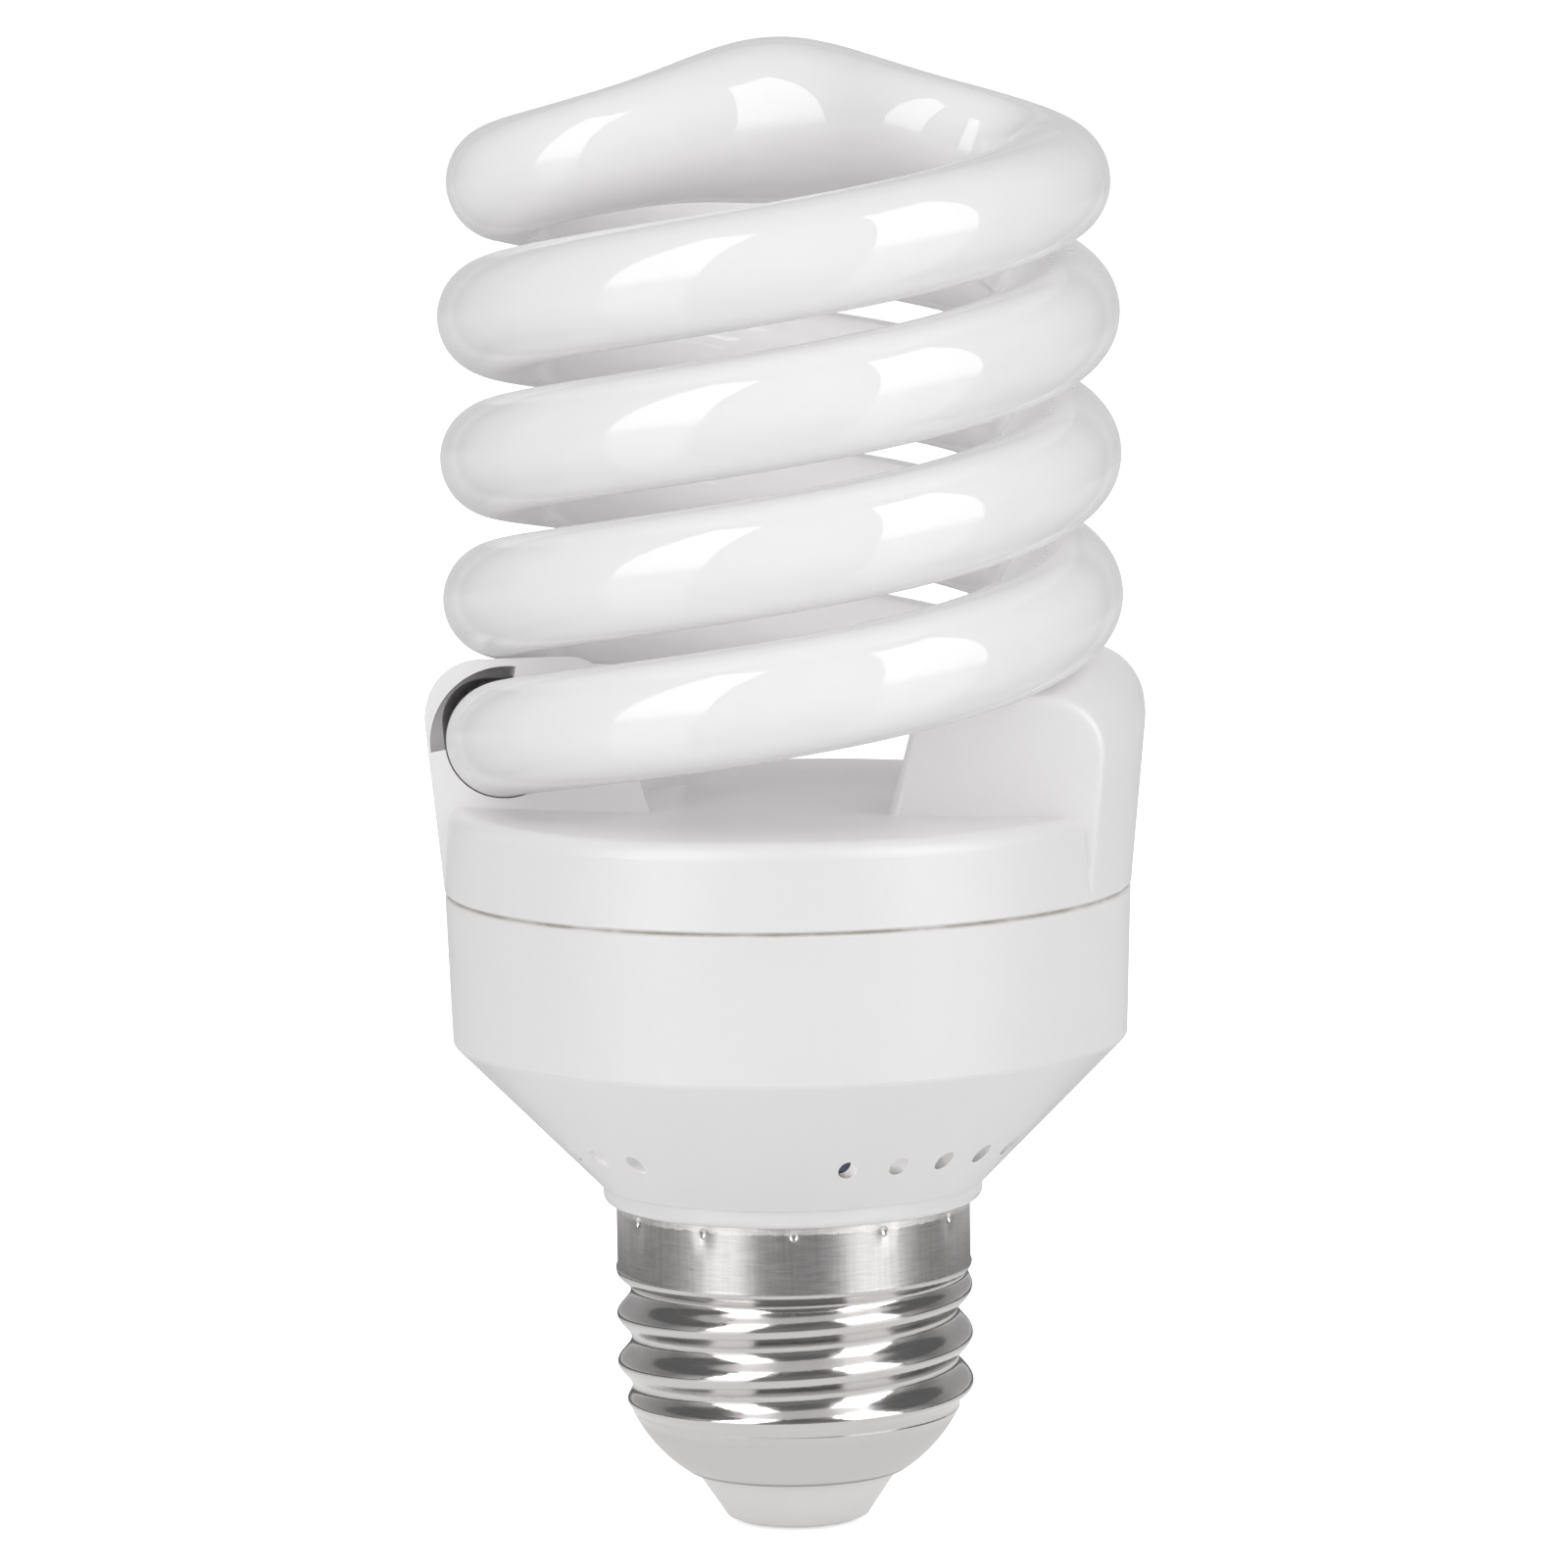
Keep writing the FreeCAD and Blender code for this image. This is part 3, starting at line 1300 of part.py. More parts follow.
def ring_winding(name, first, turns):
    """Turns side by side, linked in the ring's hole, with a leg up at each end."""
    angles = [float(first) + plain.turn_step * step for step in range(int(float(turns)))]
    off = size.coil_wire + size.coil_gap
    middle = board_foot - size.standing_gap - size.ring_height / 2
    link_radius = plain.coil_wire / 2
    reach = plain.ring_inner - float(off)
    link = Part.makeTorus(reach, link_radius, ORIGIN, UP, 0, 360, angles[-1] - angles[0])
    link = link.rotated(ORIGIN, UP, angles[0])
    link.translate(Vector(0, 0, float(middle)))
    loops = [wire_loop(angle) for angle in angles]
    turned = loops[0].fuse(loops[1:] + [link])
    centre = Vector(plain.ring_x, plain.ring_y, 0)
    turns_of_wire = feature(name + "_turns", turned, Placement(centre, Rotation()))
    legs = []
    for number, step in enumerate((0, turns - 1), 1):
        angle = first + size.turn_step * step
        reach = size.ring_outer + size.leg_radius + size.coil_gap * 2
        x = size.ring_x + reach * cosine(angle)
        y = size.ring_y + reach * sine(angle)
        legs.append(leg("%s_leg_%d" % (name, number), x, y, middle))
    return joined(name, [turns_of_wire, *legs])


def make_drive_transformer():
    top = board_foot - size.standing_gap
    foot = top - size.ring_height
    corners = [
        (size.ring_inner, foot),
        (size.ring_outer, foot),
        (size.ring_outer, top),
        (size.ring_inner, top),
    ]
    body = turned_body("drive_ring", corners)
    round_rings(body, size.ring_rounding, *corners)
    place(body, size.ring_x, size.ring_y)
    node("drive_core", body)
    node("drive_windings", group("ring_windings", [
        ring_winding("long_winding", size.drive_start, size.drive_turns),
        ring_winding("short_winding_1", size.side_start, size.side_turns),
        ring_winding("short_winding_2", size.other_side_start, size.side_turns),
    ]))


# Transistors, which stand on three flat legs


def make_transistor(label, side):
    x = size.transistor_x
    y = size.transistor_y * side
    top = board_foot - size.transistor_drop
    foot = top - size.transistor_height
    depth = size.transistor_depth
    body = block(label + "_body", size.transistor_width, depth, size.transistor_height, x, y, foot)
    hole_height = foot + size.tab_hole_rise
    hole = rod(label + "_hole", size.tab_hole_radius, depth * 2, x, y, hole_height, "y")
    legs = []
    for number in (-1, 0, 1):
        leg_x = x + size.transistor_pitch * number
        leg_height = board_top + size.leg_stub - top
        name = "%s_leg_%d" % (label, number + 2)
        legs.append(block(name, size.flat_leg_width, size.flat_leg_depth, leg_height, leg_x, y, top))
        half_diagonal = root(size.flat_leg_width * size.flat_leg_width
                             + size.flat_leg_depth * size.flat_leg_depth) / 2
        board_holes.append((leg_x, y, half_diagonal + size.hole_gap))
    drilled = cut(label + "_drilled", rounded(label + "_edges", body, size.part_rounding, upright), hole)
    node(label, joined(label + "_whole", [drilled, *legs]))


# Small parts


def make_axial_parts():
    diode = (size.diode_radius, size.diode_length, size.diode_pitch)
    diodes = []
    for number in range(int(plain.diode_count)):
        x = size.diode_first_x + size.diode_step * number
        diodes.append(axial_part("diode_%d" % (number + 1), *diode, x, size.diode_y, "y"))
    node("rectifier_diodes", group("diode_row", diodes))
    resistor = (size.resistor_radius, size.resistor_length, size.resistor_pitch)
    places = [
        ("resistor_1", size.first_resistor_x, size.first_resistor_y, "x"),
        ("resistor_2", size.second_resistor_x, size.second_resistor_y, "x"),
        ("resistor_3", size.third_resistor_x, size.third_resistor_y, "y"),
    ]
    resistors = [axial_part(name, *resistor, x, y, way) for name, x, y, way in places]
    node("resistors", group("resistor_set", resistors))
    node("diac", axial_part("trigger_diode", size.trigger_radius, size.trigger_length, size.trigger_pitch,
                            size.trigger_x, size.trigger_y, "x"))


def make_inductor():
    top = board_foot - size.standing_gap
    foot = top - size.inductor_length
    corners = [(0, foot), (size.inductor_radius, foot), (size.inductor_radius, top), (0, top)]
    body = turned_body("inductor_body", corners)
    round_rings(body, size.part_rounding, *corners[1:3])
    place(body, x=size.inductor_x)
    legs = two_legs("inductor", size.inductor_x, 0, top, size.inductor_pitch, "y")
    node("filter_inductor", joined("inductor_with_legs", [body, *legs]))


def make_film_capacitor(label, length, width, height, x, y, pitch, way):
    top = board_foot - size.standing_gap
    body = rounded(label + "_edges", block(label + "_block", length, width, height, x, y, top - height),
                   size.part_rounding)
    node(label, joined(label + "_whole", [body, *two_legs(label, x, y, top, pitch, way)]))


def make_film_capacitors():
    for label, side in (("resonant_capacitor", 1), ("coupling_capacitor", -1)):
        make_film_capacitor(label, size.film_thickness, size.film_length, size.film_height,
                            size.film_x, size.film_y * side, size.film_pitch, "y")
    make_film_capacitor("snubber_capacitor", size.snubber_length, size.snubber_thickness, size.snubber_height,
                        size.snubber_x, size.snubber_y, size.snubber_pitch, "x")


def make_thermistor():
    x = size.thermistor_x
    y = size.thermistor_y
    middle = board_foot - size.standing_gap - size.thermistor_radius
    disc = rod("thermistor_disc", size.thermistor_radius, size.thermistor_thickness, x, y, middle, "y")
    body = rounded("thermistor_edges", disc, size.part_rounding, is_round)
    legs = two_legs("thermistor", x, y, middle, size.thermistor_pitch, "x")
    node("thermistor", joined("thermistor_whole", [body, *legs]))


# Wires of the cap


def make_live_wire():
    x = -size.fuse_offset
    contact_top = float(size.insulator_floor + size.clench_thickness)
    fuse_top = size.fuse_foot + size.fuse_length
    fuse = post("fuse_body", size.fuse_radius, size.fuse_foot, fuse_top, x)
    node("fusible_resistor", rounded("fuse_ends", fuse, size.part_rounding, is_round))
    third = (plain.fuse_foot - contact_top) / 3
    route = [
        Vector(0, 0, contact_top),
        Vector(0, 0, contact_top + third),
        Vector(float(x), 0, contact_top + 2 * third),
        Vector(float(x), 0, plain.fuse_foot),
    ]
    lower = feature("wire_from_contact", bent_wire(route, plain.live_wire_radius, plain.live_wire_bend))
    upper = post("wire_to_board", size.live_wire_radius, fuse_top, board_top + size.leg_stub, x)
    board_holes.append((x, 0, size.live_wire_radius + size.hole_gap))
    node("live_wire", group("live_wire_ends", [lower, upper]))


def neutral_reach():
    """Where the wire lies outside the neck, at its seat and below it."""
    shallow = neck_seat_radius - size.neutral_wire_radius
    deep = neck_radius - size.neutral_wire_radius
    return shallow, deep


def make_neutral_wire():
    shallow, deep = (float(reach) for reach in neutral_reach())
    inside = float(neck_bore) - plain.wire_bore_gap - plain.neutral_wire_radius
    seat_foot = plain.skirt_top - plain.neck_seat_height
    step_foot = seat_foot - plain.neck_step_height
    foot = float(neck_foot) - plain.wire_foot_gap - plain.neutral_wire_radius
    board_y = plain.wire_board_y
    bend = plain.neutral_wire_bend
    cone = float(cone_foot)
    route = [
        Vector(0, shallow, plain.wire_top),
        Vector(0, shallow, seat_foot + bend),
        Vector(0, deep, step_foot - bend),
        Vector(0, deep, foot),
        Vector(0, inside, foot),
        Vector(0, inside, cone),
        Vector(0, board_y, cone + plain.neck_length),
        Vector(0, board_y, float(board_top) + plain.leg_stub),
    ]
    board_holes.append((0, size.wire_board_y, size.neutral_wire_radius + size.hole_gap))
    node("neutral_wire", feature("wire_from_shell", bent_wire(route, plain.neutral_wire_radius, bend)))


# Ends of the tube: pins, lead wires and cement


def pin_places():
    """The four wrap pins, two beside each end of the tube."""
    angles = []
    for angle in (size.near_pin_angle, size.far_pin_angle):
        angles += [angle, angle + 180]
    return [(size.pin_ring * cosine(angle), size.pin_ring * sine(angle)) for angle in angles]


def make_pins():
    pins = []
    foot = board_foot - size.pin_stub
    for number, (x, y) in enumerate(pin_places(), 1):
        pins.append(block("pin_%d" % number, size.pin_side, size.pin_side,
                          board_top + size.pin_height - foot, x, y, foot))
        board_holes.append((x, y, size.pin_side * math.sqrt(0.5) + size.hole_gap))
    node("wrap_pins", group("pin_set", pins))


def lead_wire(side, pin_angle):
    """A wire out of the end of the tube, down to a pin and wrapped round it."""
    centre, way = spiral_point(plain.foot_angle)
    outwards = Vector(centre.x, centre.y, 0).normalize()
    start = centre + outwards * (side * plain.lead_spread / 2)
    turn = math.radians(pin_angle)
    pin = Vector(math.cos(turn), math.sin(turn), 0) * plain.pin_ring
    wrap_radius = plain.pin_side * math.sqrt(0.5) + plain.lead_wire_radius
    wrap_top = float(board_top) + plain.pin_height - plain.wrap_drop
    wrap_height = plain.wrap_turns * plain.wrap_pitch
    wrap = Part.makeHelix(plain.wrap_pitch, wrap_height, wrap_radius)
    wrap.translate(Vector(pin.x, pin.y, wrap_top - wrap_height))
    first = wrap.Edges[0]
    begin = first.valueAt(first.FirstParameter)
    heading = first.tangentAt(first.FirstParameter)
    profile = Part.Wire(Part.makeCircle(plain.lead_wire_radius, begin, heading))
    coil = Part.Wire(wrap.Edges).makePipeShell([profile], True, True)
    back = start - way * plain.lead_out
    floor = float(board_top) + plain.lead_floor
    arrival = Vector(pin.x + wrap_radius, pin.y, wrap_top)
    route = [
        start,
        back,
        Vector(back.x, back.y, floor),
        Vector(arrival.x, arrival.y, floor - plain.lead_wire_bend),
        arrival,
    ]
    return bent_wire(route, plain.lead_wire_radius, plain.lead_wire_bend).fuse(coil)


def make_lead_wires():
    wires = []
    for side, angle in ((1, plain.near_pin_angle), (-1, plain.far_pin_angle)):
        shape = lead_wire(side, angle)
        for half, turned in (("left", Placement()), ("right", HALF_TURN)):
            wires.append(feature("lead_wire_%s_%d" % (half, len(wires)), shape, turned))
    node("tube_lead_wires", group("lead_wire_set", wires))


def make_cement():
    """A bed of cement between the glass and the walls of each hood."""
    start = plain.foot_angle + plain.cement_start
    end = start + plain.cement_span
    bed = limb_solid(start, end, plain.tube_radius + plain.cement_depth)
    glass = limb_solid(plain.foot_angle, end + plain.cement_start, plain.tube_radius)
    ring = bed.cut(glass)
    beds = []
    for half, placement in (("left", Placement()), ("right", HALF_TURN)):
        room = document.getObject(half + "_room_top")
        beds.append(common(half + "_cement", feature(half + "_cement_ring", ring, placement), room))
    node("tube_cement", group("cement_beds", beds))


# Circuit board, clamped between the housing's ledge and the cover's spigot


def make_board():
    disc = post("board_disc", board_radius, board_foot, board_top)
    drills = []
    for number, (x, y, radius) in enumerate(board_holes, 1):
        drills.append(post("drill_%d" % number, radius, board_foot, board_top, x, y))
    node("circuit_board", cut("drilled_board", disc, group("board_drills", drills)))


def check_document():
    """Stop if any object failed, or any piece is empty or broken."""
    document.recompute()
    for thing in document.Objects:
        if {"Invalid", "Error"} & set(thing.State):
            raise RuntimeError("%s failed: %s" % (thing.Label, thing.State))
    for label, thing in nodes.items():
        if thing.Shape.isNull() or not thing.Shape.isValid():
            raise RuntimeError("%s has no valid shape" % label)


def write_parts():
    os.makedirs("parts", exist_ok=True)
    for label, thing in nodes.items():
        thing.Shape.exportStep("parts/%s.step" % label)


make_contact()
make_insulator()
make_shell()
make_housing()
make_cover()
make_glass()
make_can()
make_choke()
make_drive_transformer()
make_transistor("transistor_1", 1)
make_transistor("transistor_2", -1)
make_axial_parts()
make_inductor()
make_film_capacitors()
make_thermistor()
make_live_wire()
make_neutral_wire()
make_pins()
make_lead_wires()
make_cement()
make_board()
check_document()
write_parts()
for label, thing in nodes.items():
    print(label, len(thing.Shape.Solids), round(thing.Shape.Volume, 1))
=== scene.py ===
import math

import bpy
from bpy.props import FloatProperty, FloatVectorProperty, PointerProperty
from mathutils import Matrix, Vector


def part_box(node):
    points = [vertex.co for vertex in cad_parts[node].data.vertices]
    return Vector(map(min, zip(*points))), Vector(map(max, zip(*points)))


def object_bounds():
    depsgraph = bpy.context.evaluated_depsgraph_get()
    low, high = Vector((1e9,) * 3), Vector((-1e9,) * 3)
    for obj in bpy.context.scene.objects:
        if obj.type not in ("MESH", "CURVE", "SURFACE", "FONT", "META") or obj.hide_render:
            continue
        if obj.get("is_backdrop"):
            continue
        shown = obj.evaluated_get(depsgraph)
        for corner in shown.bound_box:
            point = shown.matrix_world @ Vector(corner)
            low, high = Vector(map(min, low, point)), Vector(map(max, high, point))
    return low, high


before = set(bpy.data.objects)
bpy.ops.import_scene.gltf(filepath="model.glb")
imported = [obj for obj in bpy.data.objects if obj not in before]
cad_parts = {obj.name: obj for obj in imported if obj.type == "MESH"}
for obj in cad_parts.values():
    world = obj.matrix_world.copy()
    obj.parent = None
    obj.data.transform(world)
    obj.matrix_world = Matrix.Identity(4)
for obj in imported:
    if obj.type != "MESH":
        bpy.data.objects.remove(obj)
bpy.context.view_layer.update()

bl_info = {
    "name": "Spiral lamp",
    "version": (1, 0, 0),
    "blender": (4, 5, 0),
    "location": "3D View > Sidebar > Spiral lamp",
    "description": "Finishes a spiral energy saving lamp and sets up its studio",
    "category": "Object",
}

# The photograph's frame, and where the lamp's axis stands in it
FRAME_PIXELS = 1600
AXIS_PIXEL = 802.3
PIXELS_PER_METRE = 13850

# Heights on the screw shell, and its radius
BOWL_TOP = 0.0084
SKIRT_FOOT = 0.0193
SKIRT_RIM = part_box("screw_shell")[1].z
BOWL_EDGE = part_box("screw_shell")[0].z
SHELL_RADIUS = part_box("screw_shell")[1].x

# Height of the joint between the housing and its cover
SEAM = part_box("ballast_housing")[1].z

# Under the board: its foot, and where the leads of the standing parts and of the transistors
# come out of their bodies
BOARD_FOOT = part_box("circuit_board")[0].z
LEAD_FOOT = BOARD_FOOT - 0.00048
TRANSISTOR_TOP = BOARD_FOOT - 0.002


# Sizes and colours that a user would change


class LampFinish(bpy.types.PropertyGroup):
    """Colours and grain of the lamp's pieces"""

    glass_colour: FloatVectorProperty(
        name="Phosphor", description="White of the coated glass", subtype="COLOR",
        size=4, min=0, max=1, default=(0.806, 0.798, 0.802, 1))
    plastic_colour: FloatVectorProperty(
        name="Moulding", description="Plastic of the housing and its cover", subtype="COLOR",
        size=4, min=0, max=1, default=(0.73, 0.72, 0.722, 1))
    insulator_colour: FloatVectorProperty(
        name="Insulator", description="Plastic at the foot of the cap", subtype="COLOR",
        size=4, min=0, max=1, default=(0.74, 0.73, 0.722, 1))
    cap_colour: FloatVectorProperty(
        name="Cap", description="Plated sheet of the screw shell", subtype="COLOR",
        size=4, min=0, max=1, default=(0.67, 0.655, 0.648, 1))
    grain_size: FloatProperty(
        name="Grain", description="Size of the moulding's grain", unit="LENGTH",
        default=0.00035, min=0.0001, max=0.002, precision=5)
    grain_depth: FloatProperty(
        name="Grain depth", description="Depth of the moulding's grain", unit="LENGTH",
        default=0.000017, min=0, max=0.0002, precision=6)
    cap_roughness: FloatProperty(
        name="Cap roughness", description="How far the plating of the thread blurs what it mirrors",
        default=0.15, min=0, max=1)


class LampStudio(bpy.types.PropertyGroup):
    """Camera and lights round the lamp"""

    camera_distance: FloatProperty(
        name="Camera distance", description="Camera to the middle of the view", unit="LENGTH",
        default=0.65, min=0.2, max=5)
    camera_height: FloatProperty(
        name="Height looked at", description="Height on the lamp's axis at the middle of the view",
        unit="LENGTH", default=0.05503, min=0, max=0.2, precision=5)
    camera_elevation: FloatProperty(
        name="Elevation", description="How far the camera looks down", subtype="ANGLE",
        default=math.radians(7.4), min=0, max=math.radians(80))
    camera_roll: FloatProperty(
        name="Roll", description="Lean of the lamp to the left in the view", subtype="ANGLE",
        default=math.radians(0.95), min=-0.2, max=0.2)
    left_box: FloatProperty(
        name="Left soft box", description="Light of the tall soft box on the left", unit="POWER",
        default=3.2, min=0, max=50)
    right_box: FloatProperty(
        name="Right soft box", description="Light of the tall soft box on the right", unit="POWER",
        default=3.15, min=0, max=50)
    back_fill: FloatProperty(
        name="Back fill", description="Light of the two fills behind the lamp", unit="POWER",
        default=2.0, min=0, max=50)
    housing_glow: FloatProperty(
        name="Housing glow", description="Light that the thin plastic lets through to its inside",
        unit="POWER", default=0.009, min=0, max=1, precision=4)
    gleam: FloatProperty(
        name="Gleam", description="How bright the soft boxes look in gloss, where 1 is white",
        default=3.5, min=0, max=20)
    ambient: FloatProperty(
        name="Ambient", description="Strength of the light from all round",
        default=0.56, min=0, max=2)


# Node trees


class Nodes:
    """Short ways to add and join nodes in one tree."""

    def __init__(self, tree):
        self.tree = tree

    def add(self, kind, values=None, **settings):
        node = self.tree.nodes.new(kind)
        for name, value in settings.items():
            setattr(node, name, value)
        for socket, value in (values or {}).items():
            self.put(node.inputs[socket], value)
        return node

    def put(self, socket, value):
        """Join an output to a socket, or set the socket's own value."""
        if isinstance(value, bpy.types.NodeSocket):
            self.tree.links.new(value, socket)
        else:
            socket.default_value = value

    def math(self, operation, first, second=0.0):
        return self.add("ShaderNodeMath", {0: first, 1: second}, operation=operation).outputs[0]

    def spread(self, value, low, high, to_low=0.0, to_high=1.0):
        """Map a value from one range to another and keep it inside."""
        node = self.add("ShaderNodeMapRange", {
            "Value": value, "From Min": low, "From Max": high, "To Min": to_low, "To Max": to_high})
        return node.outputs["Result"]

    def vary(self, noise, low, high):
        """Let a noise, most of which lies between 0.3 and 0.7, carry a value from low to high."""
        return self.spread(noise, 0.3, 0.7, low, high)

    def swing(self, mask, low, high):
        """A value that a mask carries from low to high."""
        return self.spread(mask, 0.0, 1.0, low, high)

    def off(self, coordinate, middle):
        """Distance from a middle along one axis."""
        return self.math("ABSOLUTE", self.math("SUBTRACT", coordinate, middle))

    def length(self, first, second):
        """How far two offsets at right angles lead."""
        squares = [self.math("POWER", offset, 2.0) for offset in (first, second)]
        return self.math("SQRT", self.math("ADD", *squares))

    def choose(self, mask, first, second):
        """The first number where the mask is 0, the second where it is 1."""
        node = self.add("ShaderNodeMix", {"Factor": mask, "A": first, "B": second})
        return node.outputs["Result"]

    def blend(self, factor, first, second, kind="MIX"):
        """One colour turned into another, or multiplied by it."""
        node = self.add("ShaderNodeMix", data_type="RGBA", blend_type=kind)
        self.put(node.inputs["Factor"], factor)
        self.put(node.inputs["A"], first)
        self.put(node.inputs["B"], second)
        return node.outputs["Result"]

    def scaled(self, colour, factor):
        """A colour made darker or lighter."""
        node = self.add("ShaderNodeVectorMath", {0: colour, "Scale": factor}, operation="SCALE")
        return node.outputs[0]

    def ramp(self, factor, rows, interpolation="LINEAR"):
        """The colour that a table of (place, colour) has at a place."""
        node = self.add("ShaderNodeValToRGB", {"Fac": factor})
        node.color_ramp.interpolation = interpolation
        stops = node.color_ramp.elements
        stops[0].position, stops[0].color = rows[0]
        stops[1].position, stops[1].color = rows[-1]
        for place, colour in rows[1:-1]:
            stops.new(place).color = colour
        return node.outputs["Color"]

    def noise(self, vector, scale, detail=2.0, roughness=0.5):
        """Noise with its scale in waves a metre."""
        node = self.add("ShaderNodeTexNoise", {
            "Vector": vector, "Scale": scale, "Detail": detail, "Roughness": roughness})
        return node.outputs["Fac"]

    def stretched(self, vector, scale):
        node = self.add("ShaderNodeMapping", {"Vector": vector, "Scale": scale})
        return node.outputs["Vector"]

    def place_on_object(self):
        return self.add("ShaderNodeTexCoord").outputs["Object"]

    def coordinate(self, axis):
        """The place on the object along X, Y or Z, in metres."""
        return self.add("ShaderNodeSeparateXYZ", {"Vector": self.place_on_object()}).outputs[axis]

    def seen(self):
        """1 for what the camera sees, straight, in gloss or through glass."""
        path = self.add("ShaderNodeLightPath").outputs
        seen = self.math("MAXIMUM", path["Is Camera Ray"], path["Is Glossy Ray"])
        return self.math("MAXIMUM", seen, path["Is Transmission Ray"])


def new_group(name, inputs, outputs):
    """An empty node group with named inputs and outputs."""
    group = bpy.data.node_groups.new(name, "ShaderNodeTree")
    for label, kind, default in inputs:
        socket = group.interface.new_socket(label, in_out="INPUT", socket_type=kind)
        socket.default_value = default
    for label, kind in outputs:
        group.interface.new_socket(label, in_out="OUTPUT", socket_type=kind)
    nodes = Nodes(group)
    return group, nodes, nodes.add("NodeGroupInput"), nodes.add("NodeGroupOutput")


def mottle_group():
    """Slow, faint change of a colour over the surface."""
    group, nodes, given, result = new_group(
        "mottle",
        [("Colour", "NodeSocketColor", (0.8, 0.8, 0.8, 1)), ("Amount", "NodeSocketFloat", 0.05),
         ("Size", "NodeSocketFloat", 0.01)],
        [("Colour", "NodeSocketColor")])
    scale = nodes.math("DIVIDE", 1.0, given.outputs["Size"])
    cloud = nodes.noise(nodes.place_on_object(), scale, detail=3.0, roughness=0.55)
    shade = nodes.math("SUBTRACT", cloud, 0.5)
    shade = nodes.math("MULTIPLY", shade, given.outputs["Amount"])
    shade = nodes.math("ADD", shade, 1.0)
    nodes.put(result.inputs["Colour"], nodes.scaled(given.outputs["Colour"], shade))
    return group


def grain_group():
    """Fine spark-eroded grain of a mould, as a height in metres, with slow waves under it."""
    group, nodes, given, result = new_group(
        "mould_grain",
        [("Size", "NodeSocketFloat", 0.0003), ("Depth", "NodeSocketFloat", 0.00001),
         ("Wave", "NodeSocketFloat", 0.00003)],
        [("Height", "NodeSocketFloat")])
    where = nodes.place_on_object()
    scale = nodes.math("DIVIDE", 1.0, given.outputs["Size"])
    fine = nodes.noise(where, scale, roughness=0.6)
    slow = nodes.noise(where, 160.0, detail=1.0, roughness=0.4)
    height = nodes.math("ADD", nodes.math("MULTIPLY", fine, given.outputs["Depth"]),
                        nodes.math("MULTIPLY", slow, given.outputs["Wave"]))
    nodes.put(result.inputs["Height"], height)
    return group


def handling_group():
    """Faint smudges from handling, as a mask."""
    group, nodes, given, result = new_group(
        "handling",
        [("Size", "NodeSocketFloat", 0.008), ("Cover", "NodeSocketFloat", 0.4)],
        [("Mask", "NodeSocketFloat")])
    scale = nodes.math("DIVIDE", 1.0, given.outputs["Size"])
    cloud = nodes.noise(nodes.place_on_object(), scale, detail=5.0, roughness=0.62)
    least = nodes.math("SUBTRACT", 0.72, nodes.math("MULTIPLY", given.outputs["Cover"], 0.4))
    nodes.put(result.inputs["Mask"], nodes.spread(cloud, least, 0.85))
    return group


GROUP_MAKERS = {"mottle": mottle_group, "mould_grain": grain_group, "handling": handling_group}


class Finish(Nodes):
    """One material, with the shared groups close at hand."""

    def __init__(self, name, **values):
        self.material = bpy.data.materials.new(name)
        self.material.use_nodes = True
        super().__init__(self.material.node_tree)
        self.shader = self.tree.nodes["Principled BSDF"]
        for socket, value in values.items():
            self.set(socket.replace("_", " "), value)

    def set(self, socket, value):
        self.put(self.shader.inputs[socket], value)

    def group(self, name, **values):
        tree = bpy.data.node_groups.get(name) or GROUP_MAKERS[name]()
        node = self.add("ShaderNodeGroup", node_tree=tree)
        for socket, value in values.items():
            self.put(node.inputs[socket], value)
        return node.outputs

    def bump(self, height, depth=None):
        """Relief of a height in metres, or of a pattern that is given its depth in metres."""
        if depth is not None:
            height = self.math("MULTIPLY", height, depth)
        node = self.add("ShaderNodeBump", {"Height": height, "Strength": 1.0, "Distance": 1.0})
        self.set("Normal", node.outputs["Normal"])

    def wear(self, *names):
        """Give this finish to the named CAD nodes."""
        for name in names:
            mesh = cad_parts[name].data
            mesh.materials.clear()
            mesh.materials.append(self.material)
            for face in mesh.polygons:
                face.material_index = 0


def finish_settings():
    return bpy.context.scene.lamp_finish


# Glass

# Painted shade on the coating's colour, from where it faces the eye to the outline, for the clear
# wall seen edge on
PAINTED_OUTLINE_SHADES = (
    (0.1, 1.0), (0.36, 0.968), (0.58, 0.905), (0.67, 0.855), (0.73, 0.945), (0.82, 0.9),
    (1.0, 0.88))

# Between which shares of Facing the glass comes to blur what it mirrors, and how rough it gets
BLUR_START = 0.58
BLUR_END = 0.92
BLUR = 0.45

# Depth of the slow waves in the drawn tube
DRAW_DEPTH = 0.00004


def glass_finish():
    """White coated glass, with painted shade: its colour darkens in bands towards the outline,
    where the clear wall over the coating looks greyer.
    """
    settings = finish_settings()
    glass = Finish("coated_glass", IOR=1.5, Subsurface_Weight=0.25, Subsurface_Scale=0.004)
    glass.set("Subsurface Radius", (1.0, 0.97, 0.94))
    coating = glass.group("mottle", Colour=settings.glass_colour, Amount=0.05, Size=0.009)
    facing = glass.add("ShaderNodeLayerWeight", {"Blend": 0.5}).outputs["Facing"]
    # Painted shade: the facing angle darkens the coating's colour in bands towards the outline
    painted_outline_shade = glass.ramp(facing, [(place, (shade, shade, shade, 1)) for place, shade in PAINTED_OUTLINE_SHADES])
    glass.set("Base Color", glass.blend(1.0, coating["Colour"], painted_outline_shade, kind="MULTIPLY"))
    smudge = glass.group("handling", Size=0.015, Cover=0.35)
    smooth = glass.swing(smudge["Mask"], 0.0, 0.02)
    blur = glass.spread(facing, BLUR_START, BLUR_END, 0.0, BLUR)
    glass.set("Roughness", glass.math("ADD", smooth, blur))
    where = glass.stretched(glass.place_on_object(), (1.0, 1.0, 2.2))
    draw = glass.noise(where, 60.0, detail=1.0, roughness=0.3)
    glass.bump(draw, DRAW_DEPTH)
    return glass


